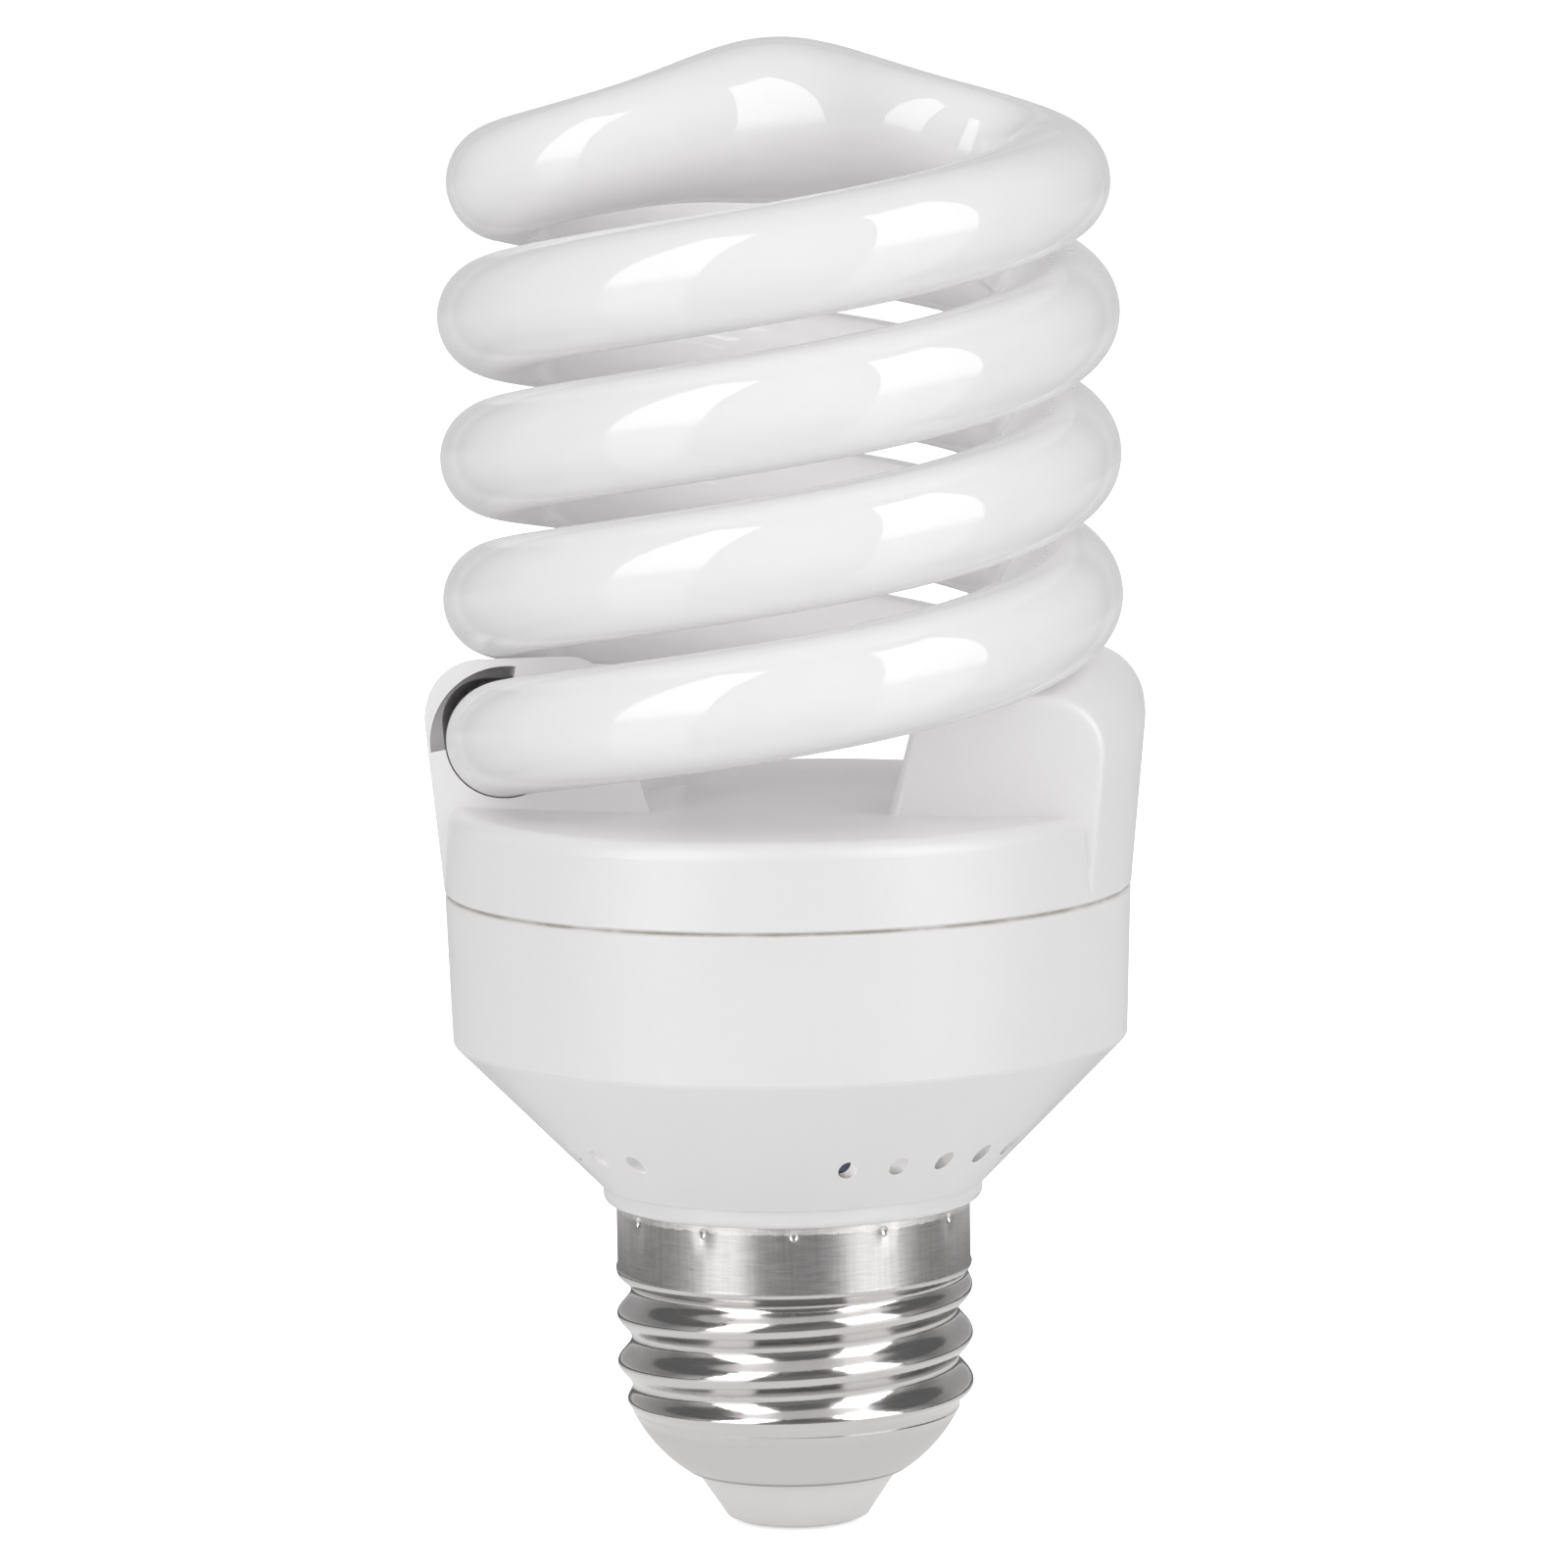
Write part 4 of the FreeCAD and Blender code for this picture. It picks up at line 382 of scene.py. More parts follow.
class LAMP_OT_glass(bpy.types.Operator):
    """Finish the spiral glass tube"""

    bl_idname = "lamp.glass"
    bl_label = "Glass tube"

    def execute(self, context):
        glass_finish().wear("discharge_tube")
        # The white glass passes light on, so its turns don't darken each other
        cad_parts["discharge_tube"].visible_shadow = False
        return {"FINISHED"}


# Plastic

# Dust in the joint of the two mouldings: its colour, how far from the joint it is thick, how
# far it reaches, and how little and how much of it there is along the joint
SEAM_DUST = (0.40, 0.37, 0.33, 1)
DUST_CORE = 0.00008
DUST_REACH = 0.0002
DUST_COVER = (0.15, 0.75)

MOULDING_ROUGHNESS = (0.36, 0.46)
MOULDING_WAVE = 0.00002


def moulding_finish(name, colour, grain=1.0):
    """Moulded plastic: grain, smudges from handling, and a broken line of dust in the joint."""
    settings = finish_settings()
    plastic = Finish(name, IOR=1.5)
    tint = plastic.group("mottle", Colour=colour, Amount=0.05, Size=0.02)
    cloud = plastic.noise(plastic.place_on_object(), 260.0, detail=4.0, roughness=0.6)
    near = plastic.spread(plastic.off(plastic.coordinate("Z"), SEAM), DUST_REACH, DUST_CORE)
    dust = plastic.math("MULTIPLY", near, plastic.spread(cloud, 0.38, 0.6, *DUST_COVER))
    plastic.set("Base Color", plastic.blend(dust, tint["Colour"], SEAM_DUST))
    smudge = plastic.group("handling", Size=0.012, Cover=0.5)
    plastic.set("Roughness", plastic.swing(smudge["Mask"], *MOULDING_ROUGHNESS))
    relief = plastic.group(
        "mould_grain", Size=settings.grain_size, Depth=settings.grain_depth * grain,
        Wave=MOULDING_WAVE)
    plastic.bump(relief["Height"])
    return plastic


class LAMP_OT_mouldings(bpy.types.Operator):
    """Finish the housing and its hooded cover"""

    bl_idname = "lamp.mouldings"
    bl_label = "Plastic mouldings"

    def execute(self, context):
        plastic = moulding_finish("moulded_plastic", finish_settings().plastic_colour)
        plastic.wear("upper_cover", "ballast_housing")
        return {"FINISHED"}


# Screw cap

# The crimping pits round the skirt, the first of them at the back: the radius of a pit's
# middle, how far its slope reaches, and the share of a height that counts, which makes it tall
PIT_COUNT = 12
PIT_HEIGHT = SKIRT_RIM - 0.00065
PIT_MIDDLE = 0.0003
PIT_REACH = 0.0014
PIT_TALLNESS = 0.6
PIT_DEPTH = 0.00012

# How much rougher the skirt, the bowl and the band of painted highlight under the upper edge are
# than the thread, and how far the scratches vary it
SKIRT_ROUGHER = 0.16
BOWL_ROUGHER = 0.34
RIM_ROUGHER = 0.2
SCRATCH_ROUGHER = 0.04

# How much the skirt's scratches and streaks change its colour
SCRATCH_TINT = 0.07
STREAK_TINT = 0.06

# How deep they are, and how deep the scratches are on the rest of the shell
STREAK_DEPTH = 0.000004
SKIRT_SCRATCH_DEPTH = 0.000003
SCRATCH_DEPTH = 0.0000004

# How ragged the band of painted highlight under the upper edge is, and how wide
RIM_RAGGED = 0.0004
RIM_WIDTH = 0.0003

# Over how much height the skirt and the bowl fade into the thread
SKIRT_FADE = 0.0004
BOWL_FADE = 0.0008

# Metres round the skirt to a radian, for the brushing
BRUSH_RADIUS = 0.013

# The contact's metals, and the radii between which the one gives way to the other
BRASS = (0.72, 0.55, 0.27, 1)
SOLDER = (0.62, 0.61, 0.60, 1)
SOLDER_EDGE = (0.0023, 0.0026)


def pit_dents(metal, turn, height):
    """How near a point of the skirt is to a crimping pit, 1 at its middle."""
    off = metal.math("PINGPONG", turn, math.pi / PIT_COUNT)
    across = metal.math("MULTIPLY", off, SHELL_RADIUS)
    up = metal.math("MULTIPLY", metal.math("SUBTRACT", height, PIT_HEIGHT), PIT_TALLNESS)
    near = metal.spread(metal.length(across, up), PIT_REACH, PIT_MIDDLE)
    return metal.math("MULTIPLY", near, near)


def cap_finish():
    """Plated sheet: a brushed skirt, a bright rolled thread and a frosted bowl."""
    settings = finish_settings()
    metal = Finish("plated_sheet", Metallic=1.0)
    where = metal.place_on_object()
    height = metal.coordinate("Z")
    turn = metal.math("ARCTAN2", metal.coordinate("X"), metal.coordinate("Y"))
    skirt = metal.spread(height, SKIRT_FOOT - SKIRT_FADE, SKIRT_FOOT)
    bowl = metal.spread(height, BOWL_TOP, BOWL_TOP - BOWL_FADE)
    # Band under the top edge, a painted highlight: its colour is raised and it is made rougher
    ragged = metal.math("MULTIPLY", metal.noise(where, 1500.0), RIM_RAGGED)
    rim_foot = SKIRT_RIM - RIM_WIDTH
    painted_rim_highlight = metal.spread(metal.math("ADD", height, ragged), rim_foot - 0.0001, rim_foot)
    # Painted shade at the foot of the bowl, for the dark gap to the insulator
    edge = metal.spread(height, BOWL_EDGE + 0.0003, BOWL_EDGE + 0.00015)
    round_the_axis = metal.add("ShaderNodeCombineXYZ", {
        "X": metal.math("MULTIPLY", turn, BRUSH_RADIUS), "Y": 0.0, "Z": height}).outputs["Vector"]
    upright = metal.stretched(round_the_axis, (1.0, 1.0, 0.04))
    streaks = metal.noise(upright, 2600.0, detail=3.0, roughness=0.7)
    level = metal.stretched(round_the_axis, (0.09, 1.0, 1.0))
    scratches = metal.noise(level, 5200.0, detail=3.0, roughness=0.7)
    speckle = metal.noise(where, 6500.0, roughness=0.7)
    tint = metal.group("mottle", Colour=settings.cap_colour, Amount=0.07, Size=0.006)
    scratched = metal.spread(scratches, 0.35, 0.65, -SCRATCH_TINT, SCRATCH_TINT)
    shade = metal.math("ADD", metal.math("MULTIPLY", scratched, skirt),
                       metal.vary(scratches, 0.985, 1.015))
    streaked = metal.spread(streaks, 0.35, 0.65, -STREAK_TINT, STREAK_TINT)
    streaked = metal.math("ADD", metal.math("MULTIPLY", streaked, skirt), 1.0)
    # The band under the top edge gets a painted highlight (colour times 1.3), the bowl's foot
    # painted shade (colour times 0.6)
    for factor in (streaked, metal.vary(speckle, 0.98, 1.015), metal.swing(painted_rim_highlight, 1.0, 1.3),
                   metal.swing(edge, 1.0, 0.6)):
        shade = metal.math("MULTIPLY", shade, factor)
    metal.set("Base Color", metal.scaled(tint["Colour"], shade))
    smooth = settings.cap_roughness
    rough = metal.vary(scratches, smooth - SCRATCH_ROUGHER, smooth + SCRATCH_ROUGHER)
    for mask, rougher in ((skirt, SKIRT_ROUGHER), (bowl, BOWL_ROUGHER), (painted_rim_highlight, RIM_ROUGHER)):
        rough = metal.math("ADD", rough, metal.math("MULTIPLY", mask, rougher))
    metal.set("Roughness", metal.math("MAXIMUM", rough, 0.05))
    brushed = metal.math("MULTIPLY", metal.math("MULTIPLY", streaks, skirt), STREAK_DEPTH)
    scored = metal.math(
        "MULTIPLY", scratches, metal.swing(skirt, SCRATCH_DEPTH, SKIRT_SCRATCH_DEPTH))
    dents = metal.math("MULTIPLY", pit_dents(metal, turn, height), -PIT_DEPTH)
    metal.bump(metal.math("ADD", metal.math("ADD", brushed, scored), dents))
    return metal


def contact_finish():
    """Brass eyelet with solder in its middle."""
    metal = Finish("tinned_contact", Metallic=1.0, Roughness=0.3)
    where = metal.place_on_object()
    radius = metal.length(metal.coordinate("X"), metal.coordinate("Y"))
    ragged = metal.math("MULTIPLY", metal.noise(where, 900.0, detail=3.0), 0.0008)
    soldered = metal.spread(metal.math("ADD", radius, ragged), *SOLDER_EDGE, 1.0, 0.0)
    metal.set("Base Color", metal.blend(soldered, BRASS, SOLDER))
    metal.bump(metal.noise(where, 1400.0, detail=3.0), depth=0.00004)
    return metal


class LAMP_OT_cap(bpy.types.Operator):
    """Finish the screw shell, its insulator and the contact"""

    bl_idname = "lamp.cap"
    bl_label = "Screw cap"

    def execute(self, context):
        settings = finish_settings()
        cap_finish().wear("screw_shell")
        moulding_finish("insulator_plastic", settings.insulator_colour, 0.7).wear("cap_insulator")
        contact_finish().wear("centre_contact")
        return {"FINISHED"}


# Ballast inside the housing

# Half lengths of the bodies that lie between their leads
DIODE_HALF = 0.0026
DIAC_HALF = 0.0019
RESISTOR_HALF = 0.00315

# The stripe on the capacitor's sleeve, in radians round it, and the dashes down its middle
STRIPE_TURN = 0.8
STRIPE_HALF = 0.36
DASH_HALF = 0.12
DASH_STEP = 0.002
DASH_LENGTH = 0.0012

# The capacitor's bare end, and the score across it
CAN_END_RADIUS = 0.0042
CAN_END_DEPTH = 0.0003
SCORE_WIDTH = 0.00025
SCORE_DEPTH = 0.00012

# The silver band at the diodes' cathode: its middle from the body's, and half its width
CATHODE_OFF = 0.0017
CATHODE_HALF = 0.0004

# Middles of the front, the middle and the rear resistor, along X, X and Y, and the places on Y
# where the middle one and the rear one begin
RESISTOR_MIDDLES = (0.0082, -0.0152, -0.0027)
MIDDLE_RESISTOR_FROM = -0.012
REAR_RESISTOR_FROM = -0.0075

# The colour bands on a resistor, and where they start as shares of its body
RESISTOR_BANDS = (
    (0.18, (0.16, 0.06, 0.03, 1)), (0.34, (0.01, 0.01, 0.01, 1)),
    (0.48, (0.55, 0.05, 0.03, 1)), (0.72, (0.55, 0.38, 0.10, 1)))
BAND_WIDTH = 0.08

# Pitch of the choke's winding, which is one solid
WINDING_PITCH = 0.0003

TIN = (0.62, 0.615, 0.61, 1)
COPPER = (0.66, 0.29, 0.12, 1)
EPOXY = (0.022, 0.022, 0.024, 1)


class Part(Finish):
    """Finish of a part whose body has its own surface and whose leads are tinned wire."""

    def above(self, value, edge):
        """1 beyond the edge at which a lead leaves the body."""
        return self.spread(value, edge, edge + 0.00004)

    def radius(self, first, first_middle, second, second_middle):
        """Distance from a line, given its places on two axes."""
        return self.length(self.math("SUBTRACT", first, first_middle),
                           self.math("SUBTRACT", second, second_middle))

    def dress(self, colour, roughness, bare):
        """Body colour and roughness, and bright metal where the mask is 1."""
        self.set("Base Color", self.blend(bare, colour, TIN))
        self.set("Metallic", bare)
        smudge = self.group("handling", Size=0.004, Cover=0.5)["Mask"]
        body = self.swing(smudge, roughness, roughness + 0.1)
        self.set("Roughness", self.math("MAXIMUM", body, self.math("MULTIPLY", bare, 0.3)))


def laminate_finish():
    """Paper laminate, with the fibres of its layers along one way."""
    board = Finish("board_laminate")
    where = board.place_on_object()
    fibres = board.noise(board.stretched(where, (1.0, 4.0, 1.0)), 700.0, detail=4.0, roughness=0.6)
    flecks = board.spread(board.noise(where, 2500.0, roughness=0.7), 0.62, 0.7)
    paper = board.blend(fibres, (0.42, 0.30, 0.13, 1), (0.62, 0.47, 0.24, 1))
    flecks = board.math("MULTIPLY", flecks, 0.4)
    board.set("Base Color", board.blend(flecks, paper, (0.75, 0.62, 0.38, 1)))
    board.set("Roughness", board.vary(fibres, 0.5, 0.62))
    board.bump(fibres, depth=0.00001)
    return board


def sleeve_finish():
    """Capacitor can: a shrunk sleeve with a pale stripe, and a bare scored end."""
    low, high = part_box("bulk_capacitor")
    middle = (low + high) / 2
    can = Part("capacitor_sleeve", IOR=1.5)
    x, y, z = (can.coordinate(axis) for axis in "XYZ")
    reach = can.radius(x, middle.x, y, middle.y)
    end_top = low.z + CAN_END_DEPTH
    end = can.math("MULTIPLY", can.spread(reach, CAN_END_RADIUS + 0.0001, CAN_END_RADIUS),
                   can.spread(z, end_top + 0.0001, end_top))
    bare = can.math("MAXIMUM", end, can.above(z, LEAD_FOOT))
    turn = can.math("ARCTAN2", can.math("SUBTRACT", x, middle.x), can.math("SUBTRACT", y, middle.y))
    aside = can.off(turn, STRIPE_TURN)
    stripe = can.spread(aside, STRIPE_HALF + 0.02, STRIPE_HALF)
    dashes = can.spread(can.math("PINGPONG", z, DASH_STEP), DASH_LENGTH, DASH_LENGTH + 0.00005)
    dash = can.math("MULTIPLY", dashes, can.spread(aside, DASH_HALF + 0.02, DASH_HALF))
    stripe = can.math("SUBTRACT", stripe, can.math("MULTIPLY", dash, 0.9))
    film = can.group("mottle", Colour=(0.025, 0.03, 0.055, 1), Amount=0.3, Size=0.004)["Colour"]
    can.dress(can.blend(stripe, film, (0.5, 0.52, 0.56, 1)), 0.22, bare)
    cross = can.math("MINIMUM", can.off(x, middle.x), can.off(y, middle.y))
    score = can.math("MULTIPLY", can.spread(cross, 0.0, SCORE_WIDTH, -SCORE_DEPTH, 0.0), end)
    wrinkles = can.noise(can.stretched(can.place_on_object(), (1.0, 1.0, 0.15)), 700.0)
    can.bump(can.math("ADD", score, can.math("MULTIPLY", wrinkles, 0.00001)))
    return can


def ferrite_finish():
    """Pressed and ground ferrite, with fine pores."""
    ferrite = Finish("ferrite")
    where = ferrite.place_on_object()
    pores = ferrite.spread(ferrite.noise(where, 4200.0, detail=3.0, roughness=0.7), 0.35, 0.6)
    strokes = ferrite.stretched(where, (0.1, 1.0, 1.0))
    ground = ferrite.noise(strokes, 2500.0, detail=3.0, roughness=0.6)
    dark = ferrite.blend(pores, (0.02, 0.02, 0.022, 1), (0.05, 0.05, 0.053, 1))
    ferrite.set("Base Color", dark)
    ferrite.set("Roughness", ferrite.vary(ground, 0.38, 0.55))
    ferrite.bump(ferrite.math("ADD", pores, ground), depth=0.000004)
    return ferrite


def winding_finish(name, pitch=0.0):
    """Enamelled copper, with turns of the given pitch where the coil is one solid."""
    wire = Part(name, IOR=1.6, Metallic=1.0, Coat_Weight=0.6, Coat_Roughness=0.12)
    where = wire.place_on_object()
    height = wire.coordinate("Z")
    copper = wire.group("mottle", Colour=COPPER, Amount=0.35, Size=0.0015)["Colour"]
    wire.set("Base Color", wire.blend(wire.above(height, BOARD_FOOT), copper, TIN))
    wire.set("Roughness", wire.vary(wire.noise(where, 900.0), 0.24, 0.36))
    if pitch:
        waver = wire.math("MULTIPLY", wire.noise(where, 500.0, detail=1.0), pitch / 2)
        turns = wire.math("PINGPONG", wire.math("ADD", height, waver), pitch / 2)
        round_wire = wire.math("SQRT", wire.spread(turns, 0.0, pitch / 2))
        wire.bump(round_wire, depth=pitch / 2)
    return wire


def tinned_finish():
    """Tinned copper wire and pins, a little uneven where the tin has run."""
    tinned = Finish("tinned_wire", Metallic=1.0)
    tint = tinned.group("mottle", Colour=TIN, Amount=0.2, Size=0.002)
    tinned.set("Base Color", tint["Colour"])
    runs = tinned.noise(tinned.place_on_object(), 1800.0)
    tinned.set("Roughness", tinned.vary(runs, 0.2, 0.36))
    tinned.bump(runs, depth=0.00002)
    return tinned


def transistor_finish():
    """Black moulded body with a fine matt grain."""
    epoxy = Part("black_epoxy", IOR=1.5)
    black = epoxy.group("mottle", Colour=EPOXY, Amount=0.3, Size=0.002)["Colour"]
    epoxy.dress(black, 0.42, epoxy.above(epoxy.coordinate("Z"), TRANSISTOR_TOP))
    epoxy.bump(epoxy.group("mould_grain", Size=0.00012, Depth=0.000006, Wave=0.0)["Height"])
    return epoxy


def diode_finish():
    """Black diodes in a row, each with a silver band at its cathode."""
    low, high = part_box("rectifier_diodes")
    middle = (low.y + high.y) / 2
    diode = Part("diode_epoxy", IOR=1.5)
    y = diode.coordinate("Y")
    black = diode.group("mottle", Colour=EPOXY, Amount=0.3, Size=0.002)["Colour"]
    band = diode.spread(
        diode.off(y, middle + CATHODE_OFF), CATHODE_HALF + 0.00002, CATHODE_HALF - 0.00002)
    body = diode.blend(band, black, (0.52, 0.52, 0.51, 1))
    diode.dress(body, 0.36, diode.above(diode.off(y, middle), DIODE_HALF))
    diode.bump(diode.group("mould_grain", Size=0.00012, Depth=0.000005, Wave=0.0)["Height"])
    return diode


def dipped_finish(name, colour, lies_at=None):
    """Thick lacquer that has run a little. The body stands on its leads, or lies on the board
    with its middle at an X."""
    lacquer = Part(name, IOR=1.55, Coat_Weight=0.5, Coat_Roughness=0.06)
    tint = lacquer.group("mottle", Colour=colour, Amount=0.35, Size=0.0025)["Colour"]
    if lies_at is None:
        bare = lacquer.above(lacquer.coordinate("Z"), LEAD_FOOT)
    else:
        bare = lacquer.above(lacquer.off(lacquer.coordinate("X"), lies_at), DIAC_HALF)
    lacquer.dress(tint, 0.14, bare)
    runs = lacquer.noise(lacquer.stretched(lacquer.place_on_object(), (1.0, 1.0, 0.5)), 450.0)
    lacquer.bump(runs, depth=0.00008)
    return lacquer


def thermistor_finish():
    """Dipped disc on two leads."""
    low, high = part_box("thermistor")
    radius = (high.x - low.x) / 2
    disc = Part("thermistor_coating", IOR=1.55)
    tint = disc.group("mottle", Colour=(0.16, 0.22, 0.10, 1), Amount=0.35, Size=0.002)["Colour"]
    reach = disc.radius(
        disc.coordinate("X"), (low.x + high.x) / 2, disc.coordinate("Z"), low.z + radius)
    disc.dress(tint, 0.25, disc.above(reach, radius))
    disc.bump(disc.noise(disc.place_on_object(), 700.0), depth=0.00006)
    return disc


def banded(resistor, along, half, ground):
    """Colour of a resistor's body with its four bands, by the place along it."""
    rows = [(0.0, ground)]
    for start, band in RESISTOR_BANDS:
        rows += [(start, band), (start + BAND_WIDTH, ground)]
    return resistor.ramp(resistor.spread(along, -half, half), rows, "CONSTANT")


def resistor_finish():
    """Lacquered resistors: one in front, one in the middle, and one across behind them."""
    resistor = Part("resistor_coating", IOR=1.5)
    x, y = resistor.coordinate("X"), resistor.coordinate("Y")
    front, middle, rear = (resistor.math("SUBTRACT", axis, place)
                           for axis, place in zip((x, x, y), RESISTOR_MIDDLES))
    along = resistor.choose(
        resistor.math("GREATER_THAN", y, MIDDLE_RESISTOR_FROM), front, middle)
    along = resistor.choose(resistor.math("GREATER_THAN", y, REAR_RESISTOR_FROM), along, rear)
    colour = banded(resistor, along, RESISTOR_HALF, (0.50, 0.37, 0.20, 1))
    resistor.dress(colour, 0.2, resistor.above(resistor.off(along, 0.0), RESISTOR_HALF))
    runs = resistor.noise(resistor.place_on_object(), 900.0)
    resistor.bump(runs, depth=0.00003)
    return resistor


def fuse_finish():
    """Fusible resistor that stands in the neck, grey green with bands."""
    low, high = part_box("fusible_resistor")
    fuse = Part("fuse_coating", IOR=1.5)
    along = fuse.math("SUBTRACT", fuse.coordinate("Z"), (low.z + high.z) / 2)
    colour = banded(fuse, along, (high.z - low.z) / 2, (0.30, 0.36, 0.33, 1))
    fuse.dress(colour, 0.3, 0.0)
    fuse.bump(fuse.noise(fuse.place_on_object(), 1200.0), depth=0.00003)
    return fuse


def wire_sleeve_finish():
    """Soft pale insulation, with the faint lay of the strands under it."""
    sleeve = Finish("wire_sleeve", IOR=1.5)
    tint = sleeve.group("mottle", Colour=(0.62, 0.61, 0.58, 1), Amount=0.15, Size=0.003)
    sleeve.set("Base Color", tint["Colour"])
    where = sleeve.place_on_object()
    lay = sleeve.noise(sleeve.stretched(where, (1.0, 1.0, 0.2)), 2600.0)
    sleeve.set("Roughness", sleeve.vary(lay, 0.4, 0.52))
    sleeve.bump(lay, depth=0.00001)
    return sleeve


def cement_finish():
    """Set cement, rough, with pores."""
    cement = Finish("white_cement", Roughness=0.9)
    where = cement.place_on_object()
    pores = cement.spread(cement.noise(where, 1300.0, detail=5.0, roughness=0.7), 0.38, 0.5)
    cement.set("Base Color", cement.blend(pores, (0.42, 0.40, 0.36, 1), (0.72, 0.70, 0.65, 1)))
    cement.bump(pores, depth=0.00012)
    return cement


class LAMP_OT_ballast(bpy.types.Operator):
    """Finish the board, the choke, the drive transformer and the filter inductor"""

    bl_idname = "lamp.ballast"
    bl_label = "Board and coils"

    def execute(self, context):
        laminate_finish().wear("circuit_board")
        ferrite_finish().wear("choke_core", "drive_core")
        moulding_finish("bobbin_plastic", (0.03, 0.03, 0.032, 1)).wear("choke_bobbin")
        winding_finish("choke_copper", WINDING_PITCH).wear("choke_winding")
        winding_finish("enamelled_wire").wear("drive_windings")
        dipped_finish("inductor_sleeve", (0.03, 0.03, 0.035, 1)).wear("filter_inductor")
        return {"FINISHED"}


class LAMP_OT_components(bpy.types.Operator):
    """Finish the capacitors, transistors, diodes and resistors"""

    bl_idname = "lamp.components"
    bl_label = "Small parts"

    def execute(self, context):
        sleeve_finish().wear("bulk_capacitor")
        transistor_finish().wear("transistor_1", "transistor_2")
        diode_finish().wear("rectifier_diodes")
        dipped_finish("film_coating", (0.36, 0.09, 0.04, 1)).wear(
            "resonant_capacitor", "coupling_capacitor", "snubber_capacitor")
        low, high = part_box("diac")
        diac = dipped_finish("diac_glass", (0.05, 0.12, 0.3, 1), lies_at=(low.x + high.x) / 2)
        diac.wear("diac")
        thermistor_finish().wear("thermistor")
        resistor_finish().wear("resistors")
        fuse_finish().wear("fusible_resistor")
        return {"FINISHED"}


class LAMP_OT_wires(bpy.types.Operator):
    """Finish the wires, the pins and the cement round the tube's ends"""

    bl_idname = "lamp.wires"
    bl_label = "Wires and cement"

    def execute(self, context):
        tinned_finish().wear("neutral_wire", "wrap_pins", "tube_lead_wires", "choke_pins")
        wire_sleeve_finish().wear("live_wire")
        cement_finish().wear("tube_cement")
        return {"FINISHED"}


# Studio

# Soft boxes as seen from the lamp: turn from the front towards +X, its half width,
# height of the middle over the horizon, its half height, all in degrees
LEFT_BOX = (-43.5, 16.5, 31, 33)
RIGHT_BOX = (50, 19, 31, 33)
BOX_DISTANCE = 0.9

# Points of a gleam's card to each side of its middle, across and up
BOX_COLUMNS = 6
BOX_ROWS = 8

# The middle of the lamp, which the lights face
LIT_MIDDLE = Vector((0, 0, 0.06))

# The fills behind the lamp: their turns, their rise, and the length of their sides
FILLS = (("back_left", -140), ("back_right", 140))
FILL_RISE = 30
FILL_SIDE = 0.8

# The light inside the housing
HOUSING_MIDDLE = (-0.006, -0.006, 0.031)
GLOW_RADIUS = 0.002

# The tent: its radius, the turn from one column of points to the next, and its grey
TENT_RADIUS = 1.1
TENT_STEP = 3
TENT_SHADE = 0.14

# The cards that the gloss shows for the floor and for the flag round the cap
FLOOR_CARD_HEIGHT = 0.0003
FLOOR_RINGS = (0.0005, 0.03, 0.055, 0.08, 0.2, 0.5, TENT_RADIUS)
FLAG_RADIUS = 0.07

# How bright the flag round the cap looks in gloss: by the turn from the front towards +X,
# and times a factor that goes with the height
FLAG_SHADES = (
    (-180, 0.30), (-133, 0.46), (-100, 0.34), (-85, 0.26), (-72, 0.40), (-58, 0.60),
    (-27, 0.26), (0, 0.22), (31, 0.26), (68, 0.60), (76, 0.38), (90, 0.24), (122, 0.50),
    (160, 0.40), (180, 0.30))
FLAG_HEIGHTS = ((0, 0.38), (0.009, 0.38), (0.012, 1.5), (0.017, 1.0), (0.05, 0.75))

# How a soft box dims towards its foot in gloss, by the rise in degrees
GLEAM_FADE = ((-2, 0.4), (9, 1.0), (64, 1.0))

# How bright the floor looks in gloss, under the lamp and in front of the boxes, the radius at
# which it begins to change, and how much further the change goes
FLOOR_SHADE = 0.86
BOX_FLOOR_SHADE = 1.3
FLOOR_NEAR = 0.03
FLOOR_CHANGE = 0.05

# The floor itself: half its side, its colour, and the glow that makes it read as white
FLOOR_HALF = 8.0
FLOOR_COLOUR = (0.9, 0.9, 0.9, 1)
FLOOR_GLOW = 0.6


def between(table, place):
    """Value between the two nearest rows of a table of (place, value)."""
    for (before, low), (after, high) in zip(table, table[1:]):
        if place <= after:
            return low + (high - low) * (place - before) / (after - before)
    return table[-1][1]


def floor_shade(turn, radius):
    """Brightness of the floor in gloss: greyer away from the lamp, but for the boxes' sides."""
    away = BOX_FLOOR_SHADE if in_a_box(turn) else between(FLAG_SHADES, turn)
    share = min(1.0, max(0.0, (radius - FLOOR_NEAR) / FLOOR_CHANGE))
    return FLOOR_SHADE + (away - FLOOR_SHADE) * share


def glow_finish(name, strength):
    """A surface whose glow follows the shade at its points."""
    material = bpy.data.materials.new(name)
    material.use_nodes = True
    material.node_tree.nodes.clear()
    nodes = Nodes(material.node_tree)
    shade = nodes.add("ShaderNodeAttribute", attribute_name="shade").outputs["Fac"]
    glow = nodes.add("ShaderNodeEmission", {"Strength": nodes.math("MULTIPLY", shade, strength)})
    output = nodes.add("ShaderNodeOutputMaterial")
    nodes.put(output.inputs["Surface"], glow.outputs["Emission"])
    return material


def in_scene(name, data):
    """A new object in the scene."""
    item = bpy.data.objects.new(name, data)
    bpy.context.scene.collection.objects.link(item)
    return item


